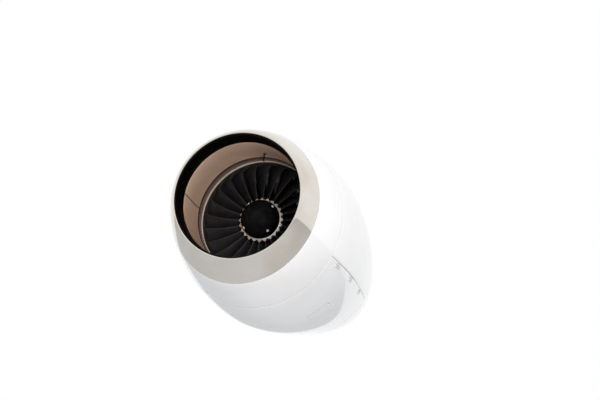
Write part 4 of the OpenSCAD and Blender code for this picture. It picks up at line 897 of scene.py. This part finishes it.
def ring_teeth():
    """Bright wedge between two blade roots, standing on the ring's cone and copied round it."""
    low, high, cone_r = SPINNER_R + 0.010, HUB_R - 0.0015, SPINNER_R + 0.004
    front = SPINNER_BASE + 0.0018
    slope = (HUB_FRONT - 0.0048 - front) / (HUB_R - 0.002 - cone_r)
    flat = [(low, -0.42 * PITCH), (low, 0.42 * PITCH), (high, 0.07 * PITCH), (high, -0.07 * PITCH)]
    levels = [[polar(r, front + (r - cone_r) * slope - lift, a) for r, a in flat] for lift in (-0.001, 0.0022)]
    tooth = round_edges(prism("ring_teeth", *levels), 0.0006)
    teeth = grow(tooth, COPIES, "latch_steel", Count=BLADES, Start=PITCH / 2)
    dress(teeth, "latch_steel", "low_rotor")


# Skins with doors
def panel(name, start, end, steps, rows=44, wall=WALL, y0=DOOR_FRONT, y1=DOOR_REAR):
    """Skin between two edges, each an angle that depends on y."""
    lines = [[(y, mix(start(y), end(y), t)) for y in spaced(y0, y1, rows)] for t in spaced(0, 1, steps)]
    sheets = [[[at(skin_r(y, a) - inset, y, a) for y, a in line] for line in lines] for inset in (0, wall)]
    return shell(name, *sheets, False)


def add_arms(skin, side, places, width, lean):
    """Adds arms that taper from the round eye at the hinge pin into the skin."""
    eye, half, root, sunk = 0.013, 0.005, 0.045, 0.006
    dip = pi / 2 - asin(HINGE_Z / FULL_R) - radians(lean)
    for y in places:
        reach = (HINGE_OUT + FULL_R - round_r(y) + WALL + sunk) / sin(dip)
        outline = [(eye * cos(t), eye * sin(t)) for t in (radians(80 + 200 * k / 16) for k in range(17))]
        outline += [(root, -half), (reach, -half), (reach, half), (root, half)]
        arm = round_edges(extrude("arm", outline, -width / 2, width / 2), 0.0012, 2, 40)
        spot = Matrix.Translation((AXIS_X + HINGE_X, LIP_Y + y, side * HINGE_Z))
        combine(skin, place(arm, spot @ Matrix.Rotation(radians(-side * lean), 4, "Y")))


def add_lug(skin, spot, middle, z):
    """Adds a lug that holds a pin at a height z along the skin."""
    lug = block("lug", (-0.004, middle - LUG / 2, z - 0.005), (0.010, middle + LUG / 2, z + 0.005))
    combine(skin, place(lug, spot))


def skin_heads(name, lines, body, radius=0.0032):
    """Rows of flush screw heads along lines of (y, angle)."""
    spots = [skin_frame(y, a) for y, a in lines]
    outs = [(spot.to_3x3() @ Vector((1, 0, 0))).normalized() for spot in spots]
    piece = new_piece(name, [spot.translation - out * 0.0006 for spot, out in zip(spots, outs)], [])
    facing = piece.data.attributes.new("facing", "FLOAT_VECTOR", "POINT")
    for value, out in zip(facing.data, outs):
        value.vector = out
    dress(grow(piece, HEADS, "fastener_steel", Radius=radius, Height=0.002, Sides=10), "fastener_steel", body)


def edge_screws(first, last, count):
    """Places of screws along the front and rear edges of a cowl door."""
    return [(y, a) for a in spaced(first, last, count) for y in (DOOR_FRONT + 0.02, DOOR_REAR - 0.02)]


HALF_GAP = DOOR_GAP / 2
SPLIT_SCREWS = spaced(0.82, 2.9, 48)
OIL_HINGE = skin_frame(OIL_Y, OIL_A + OIL_SPAN / 2)


def upper_cowl():
    skin = panel("upper_cowl_skin", lambda y: SPLIT + HALF_GAP / FULL_R,
                 lambda y: level(y, HINGE_Z + HALF_GAP), 120)
    add_arms(skin, 1, HINGE_YS, DOOR_ARM, HINGE_LEAN)
    dress(round_edges(skin, 0.0010, 2, 50), "nacelle_paint", "upper_cowl", "upper_cowl_door")
    lines = edge_screws(SPLIT + 0.03, level(0.8, 0.42), 43) + [(y, SPLIT + 0.022) for y in SPLIT_SCREWS]
    skin_heads("upper_cowl_screws", lines, "upper_cowl")


def lower_cowl():
    skin = panel("lower_cowl_skin", lambda y: -level(y, HINGE_Z + HALF_GAP),
                 lambda y: SPLIT - HALF_GAP / FULL_R, 100)
    half_w, half_len = FULL_R * sin(OIL_SPAN / 2), OIL_LEN / 2 + 0.003
    cut_block(skin, (FULL_R - 0.06, OIL_Y - half_len, -half_w - 0.006),
              (FULL_R + 0.08, OIL_Y + half_len, half_w - 0.004), TO_ROW @ Matrix.Rotation(-OIL_A, 4, "Y"))
    add_arms(skin, -1, HINGE_YS, DOOR_ARM, HINGE_LEAN)
    for y in LATCH_YS:
        for end in (-1, 1):
            add_lug(skin, skin_frame(y, LATCH_A), end * (LATCH_HALF + LUG_GAP + LUG / 2), LATCH_PIN_Z)
    for end in (-1, 1):
        add_lug(skin, OIL_HINGE, end * OIL_LUG_Y, 0)
    dress(round_edges(skin, 0.0010, 2, 50), "nacelle_paint", "lower_cowl", "lower_cowl_door")
    lines = edge_screws(-level(0.8, 0.42), SPLIT - 0.03, 33)
    lines += [(y, SPLIT - 0.022) for y in SPLIT_SCREWS if all(abs(y - spot) > 0.075 for spot in LATCH_YS)]
    skin_heads("lower_cowl_screws", lines, "lower_cowl")


def apron_skin():
    """Fixed inboard skin with windows for both mounts and the hinges' outer arms."""
    edge = HINGE_Z - HALF_GAP
    skin = panel("apron_skin", lambda y: level(y, edge), lambda y: 2 * pi - level(y, edge), 48)
    for mount_y, half_len, half_w in ((1.33, 0.075, 0.125), (2.7, 0.055, 0.105)):
        cut_block(skin, (-0.988, mount_y - half_len, -half_w), (-0.688, mount_y + half_len, half_w))
    offset = DOOR_ARM / 2 + ARM_GAP + FIXED_ARM / 2
    ears = [y + end * offset for y in HINGE_YS for end in (-1, 1)]
    for side in (-1, 1):
        add_arms(skin, side, ears, FIXED_ARM, -HINGE_LEAN)
    dress(round_edges(skin, 0.0010, 2, 50), "nacelle_paint", "nacelle", "apron")


def hinge_pins():
    half = DOOR_ARM / 2 + ARM_GAP + FIXED_ARM + HINGE_PIN_PAST
    x = AXIS_X + HINGE_X
    pins = [rod("pin", (x, LIP_Y + y - half, z), (x, LIP_Y + y + half, z), HINGE_PIN_R, 24, 0.3)
            for z in (-HINGE_Z, HINGE_Z) for y in HINGE_YS]
    dress(join("hinge_pins", pins), "fastener_steel", "nacelle", "cowl_hinge_pins")


def latch_handle(body, y):
    """Flat handle with a trigger button at its free edge, on a pin between the door's lugs."""
    half = LATCH_HALF
    handle = round_edges(block("handle", (0.0006, -half, -0.036), (0.0056, half, 0)), 0.0022, 3)
    trigger = round_edges(block("trigger", (0.0050, -0.016, -0.020), (0.0066, 0.016, -0.006)), 0.0007)
    rods = [rod("pin", (PIN_X, -end, LATCH_PIN_Z), (PIN_X, end, LATCH_PIN_Z), radius, sides, 0.2)
            for end, radius, sides in ((half, 0.0042, 20), (half + LUG, PIN_R, 14))]
    screws = [rod("screw", (0.0052, v, -0.028), (0.0062, v, -0.028), 0.0028, 12) for v in (-0.042, 0.042)]
    latch = join(body + "_handle", [handle, trigger] + rods + screws)
    dress(place(latch, skin_frame(y, LATCH_A)), "latch_steel", body, body)


def oil_hatch():
    """Small door in the lower cowl, with its knuckles between the cowl's lugs."""
    first, last, half_len = OIL_A - OIL_SPAN / 2, OIL_A + OIL_SPAN / 2 - radians(0.55), OIL_LEN / 2
    door = panel("oil_hatch", lambda y: first, lambda y: last, 16, 8, 0.005, OIL_Y - half_len, OIL_Y + half_len)
    for end in (-1, 1):
        middle, lug = end * (OIL_LUG_Y - LUG / 2 - LUG_GAP - OIL_GRIP), end * OIL_LUG_Y
        low, high, past = middle - OIL_GRIP, middle + OIL_GRIP, OIL_GRIP + 0.0005
        for part in (
            block("tab", (0.0015, low, -0.024), (0.0085, high, 0)),
            block("foot", (-0.003, low, -0.024), (0.003, high, -0.010)),
            rod("knuckle", (PIN_X, low, 0), (PIN_X, high, 0), 0.0045, 20),
            rod("pin", (PIN_X, lug - past, 0), (PIN_X, lug + past, 0), PIN_R, 16),
        ):
            combine(door, place(part, OIL_HINGE))
    dress(round_edges(door, 0.0007, 2, 50), "nacelle_paint", "oil_door", "oil_door")
    lines = [(y, first + 0.012) for y in spaced(OIL_Y - 0.1, OIL_Y + 0.1, 8)]
    lines += [(y, a) for a in spaced(first + 0.012, last - 0.03, 7)[1:] for y in (OIL_Y - 0.108, OIL_Y + 0.108)]
    skin_heads("oil_hatch_screws", lines, "oil_door", 0.0026)


# Nozzle
def aft_skin():
    """Skin behind the doors, with the land that they close over."""
    stations = [(AFT_SKIN - LAND_LEN, AFT_SKIN - LAND_LEN, LAND_INSET)]
    stations += [(AFT_SKIN, AFT_SKIN + WALL, inset) for inset in (LAND_INSET, 0)]
    stations += [(y, y, 0) for y in spaced(AFT_SKIN, DUCT_END, 20)[1:]]
    dress(skin_ring("aft_skin", stations), "nacelle_paint", "nacelle", "aft_barrel")


def nozzle_block(name, a0, a1, steps, y0, y1, rows):
    """Full depth of the nozzle's wall between two angles and two stations."""
    angles, ys = spaced(a0, a1, steps), spaced(y0, y1, rows)
    outer = rings(angles, lambda a: [(round_r(y), y) for y in ys])
    inner = rings(angles, lambda a: [(nozzle_inside(y), y) for y in ys])
    return shell(name, outer, inner, False)


def pivot_column(x0, x1, radius, side_x, side_z):
    y, z = LIP_Y + PIVOT_Y, side_z * PIVOT_Z
    return rod("column", (AXIS_X + side_x * x0, y, z), (AXIS_X + side_x * x1, y, z), radius, 64)


def reverser_beams():
    """Beams at both sides between the doors, with a hole and a pivot for each door."""
    front, rear, half = DUCT_END + 0.0003, PIVOT_Y + 0.06, radians(14)
    beams = []
    for middle, x in ((0, 1), (pi, -1)):
        beam = nozzle_block("beam", middle - half, middle + half, 24, front, rear, 32)
        for low, high in ((-0.25, -0.05), (0.05, 0.25)):
            cut_block(beam, (-0.8, front - 0.01, low), (0.8, rear + 0.01, high))
        for z in (-1, 1):
            combine(beam, pivot_column(PIVOT_REACH, PIVOT_REACH + 0.09, PIVOT_HOLE_R, x, z), "DIFFERENCE")
        for z in (-1, 1):
            combine(beam, pivot_column(PIVOT_REACH - 0.026, PIVOT_REACH, PIVOT_BOSS_R, x, z))
        beams.append(round_edges(beam, 0.0015, 2, 50))
    dress(join("reverser_beams", beams), "nacelle_paint", "nacelle", "side_beams")


def reverser_door(name, cad, body, side):
    """Half of the nozzle, cut for the beam below it and for the nozzle's slanted mouth."""
    front, wide, boss = DUCT_END + 0.004, 0.8, PIVOT_REACH + 0.001
    door = nozzle_block(name, 0, pi, 120, front, NOZZLE_END, 44)
    cut_block(door, (-wide, front - 0.01, -0.01), (wide, front + NOZZLE_END, 0.052))
    slant = Matrix.Rotation(atan((EXIT_R - PIVOT_Z) / 0.25), 4, "X")
    mouth = TO_ROW @ Matrix.Translation((0, PIVOT_Y, PIVOT_Z)) @ slant
    cut_block(door, (-wide, -0.04, -0.6), (wide, 0.56, 0), mouth)
    for x in (-1, 1):
        combine(door, pivot_column(PIVOT_REACH - 0.08, boss, PIVOT_HOLE_R, x, 1), "DIFFERENCE")
        combine(door, pivot_column(boss, PIVOT_REACH + 0.015, PIVOT_BOSS_R, x, 1))
    round_edges(door, 0.0015, 2, 50)
    if side < 0:
        finish_mesh(place(door, Matrix.Scale(-1, 4, Vector((0, 0, 1)))))
    dress(door, "nacelle_paint", body, cad)


def exhaust():
    """Lobed mixer and the tail cone inside it."""
    rows, wall, start = 24, 0.004, 3.05
    mixer_r, depth, lobes = 0.334, 0.092, 10
    cone_r, cone_len, steps = 0.202, 0.43, 32

    def sheet(inset):
        return rings(turns(240), lambda a: [(mixer_r + depth * smooth(t) * cos(lobes * a) - inset,
                                             mix(start, DUCT_END, t)) for t in spaced(0, 1, rows)])

    def cone(inset):
        radii = [max(0, cone_r * (1 - t ** 1.6) ** 0.8 - (inset if t < 1 else 0)) for t in spaced(0, 1, steps)]
        return list(zip(radii, spaced(start, start + cone_len - inset, steps)))

    mixer = round_edges(shell("lobed_mixer", sheet(0), sheet(wall), True), 0.0008, 1, 60)
    dress(mixer, "hot_alloy", "nacelle", "exhaust_mixer")
    plug = round_edges(revolve("tail_plug", cone(0) + cone(wall)[::-1], 160), 0.0006, 1, 60)
    dress(plug, "hot_alloy", "nacelle", "tail_cone")


def smoothed(node_name, slot, body):
    """Merged and smoothly shaded stand-in for a CAD node, with the same shape."""
    copy = put(node_name + "_finished", frame["nodes"][node_name].data.copy())
    shape = bmesh.new()
    shape.from_mesh(copy.data)
    bmesh.ops.remove_doubles(shape, verts=shape.verts, dist=2e-6)
    dress(shade_smooth(copy, shape), slot, body, node_name)


# The pieces
for make in (polished_lip_ring, inlet_skin, barrel_lining, case_linings, air_probe, fan, platforms, spinner_dome,
             bright_ring, ring_teeth, upper_cowl, lower_cowl, apron_skin, hinge_pins):
    make()
for name, latch_y in zip(("front_latch", "middle_latch", "rear_latch"), LATCH_YS):
    latch_handle(name, latch_y)
oil_hatch()
aft_skin()
reverser_beams()
reverser_door("upper_nozzle_door", "upper_reverser_door", "upper_reverser", 1)
reverser_door("lower_nozzle_door", "lower_reverser_door", "lower_reverser", -1)
exhaust()
for name, count, ys in (("inlet_skin_screws", 132, (LIP_OUTSIDE + 0.014, SKIN_END - 0.018)),
                        ("aft_skin_screws", 96, (AFT_SKIN + 0.016, DUCT_END - 0.016))):
    skin_heads(name, [(y, a) for y in ys for a in turns(count)], "nacelle")

# CAD nodes that no piece stands for yet keep their shape and get their finish
slots = {part["node"]: part["material_slot"] for part in frame["record"]["subparts"]}
for name, cad in frame["nodes"].items():
    if name not in STOOD_FOR:
        smoothed(name, slots[name], cad["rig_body"])


# Stage, lights and camera
def stage():
    """Plain pale floor."""
    half = 40
    corners = [(-half, -half, 0), (half, -half, 0), (half, half, 0), (-half, half, 0)]
    floor = new_piece("floor", corners, [(0, 1, 2, 3)])
    floor.location = (AXIS_X, 0, -3.1)
    pale = bpy.data.materials.new("floor")
    pale.use_nodes = True
    shader = pale.node_tree.nodes["Principled BSDF"]
    shader.inputs["Base Color"].default_value = (0.80, 0.80, 0.80, 1)
    shader.inputs["Roughness"].default_value = 0.85
    floor.data.materials.append(pale)


def surroundings():
    """Soft even light, and a white background that polished surfaces show too."""
    world = bpy.data.worlds.new("studio")
    bpy.context.scene.world = world
    world.use_nodes = True
    world.node_tree.nodes.clear()
    studio = Tree(world.node_tree)
    rays = studio.add("ShaderNodeLightPath").outputs
    soft = studio.add("ShaderNodeBackground", Color=(0.97, 0.98, 1.0, 1), Strength=0.75)
    white = studio.add("ShaderNodeBackground", Color=(1, 1, 1, 1), Strength=1.0)
    direct = studio.math("MAXIMUM", rays["Is Camera Ray"], rays["Is Transmission Ray"])
    direct = studio.math("MAXIMUM", direct, rays["Is Glossy Ray"])
    mixed = studio.add("ShaderNodeMixShader")
    for value, socket in zip((direct, soft.outputs[0], white.outputs[0]), mixed.inputs):
        studio.link(value, socket)
    studio.add("ShaderNodeOutputWorld", Surface=mixed.outputs[0])


def lamp(name, spot, aim, size, watts, colour=(1, 1, 1), fan=180):
    data = bpy.data.lights.new(name, "AREA")
    data.shape = "DISK"
    data.size = size
    data.energy = watts
    data.color = colour
    data.spread = radians(fan)
    made = put(name, data)
    made.visible_glossy = False
    made.location = spot
    made.rotation_euler = (Vector(aim) - Vector(spot)).to_track_quat("-Z", "Y").to_euler()


def camera():
    data = bpy.data.cameras.new("camera")
    data.sensor_width = 36
    data.lens = 60
    data.clip_end = 200
    made = put("camera", data)
    right = Vector((0.95374, 0.23763, 0.18414))
    up = Vector((-0.10778, -0.30154, 0.94734))
    back = Vector((0.28065, -0.92337, -0.26198))
    turn = Matrix((right, up, back)).transposed().to_4x4()
    made.matrix_world = Matrix.Translation((4.19196, -9.82486, -2.39560)) @ turn
    bpy.context.scene.camera = made


stage()
surroundings()
middle = (AXIS_X, LIP_Y + 1.0, 0)
lamp("key", (AXIS_X + 5, LIP_Y - 6, 6), middle, 5, 350)
lamp("inlet_fill", (AXIS_X + 3.2, LIP_Y - 5.2, -1.4), (AXIS_X, LIP_Y + 0.5, 0.1), 2.0, 16, (1.0, 0.92, 0.84), 44)
camera()
bpy.context.scene.view_settings.view_transform = "Standard"
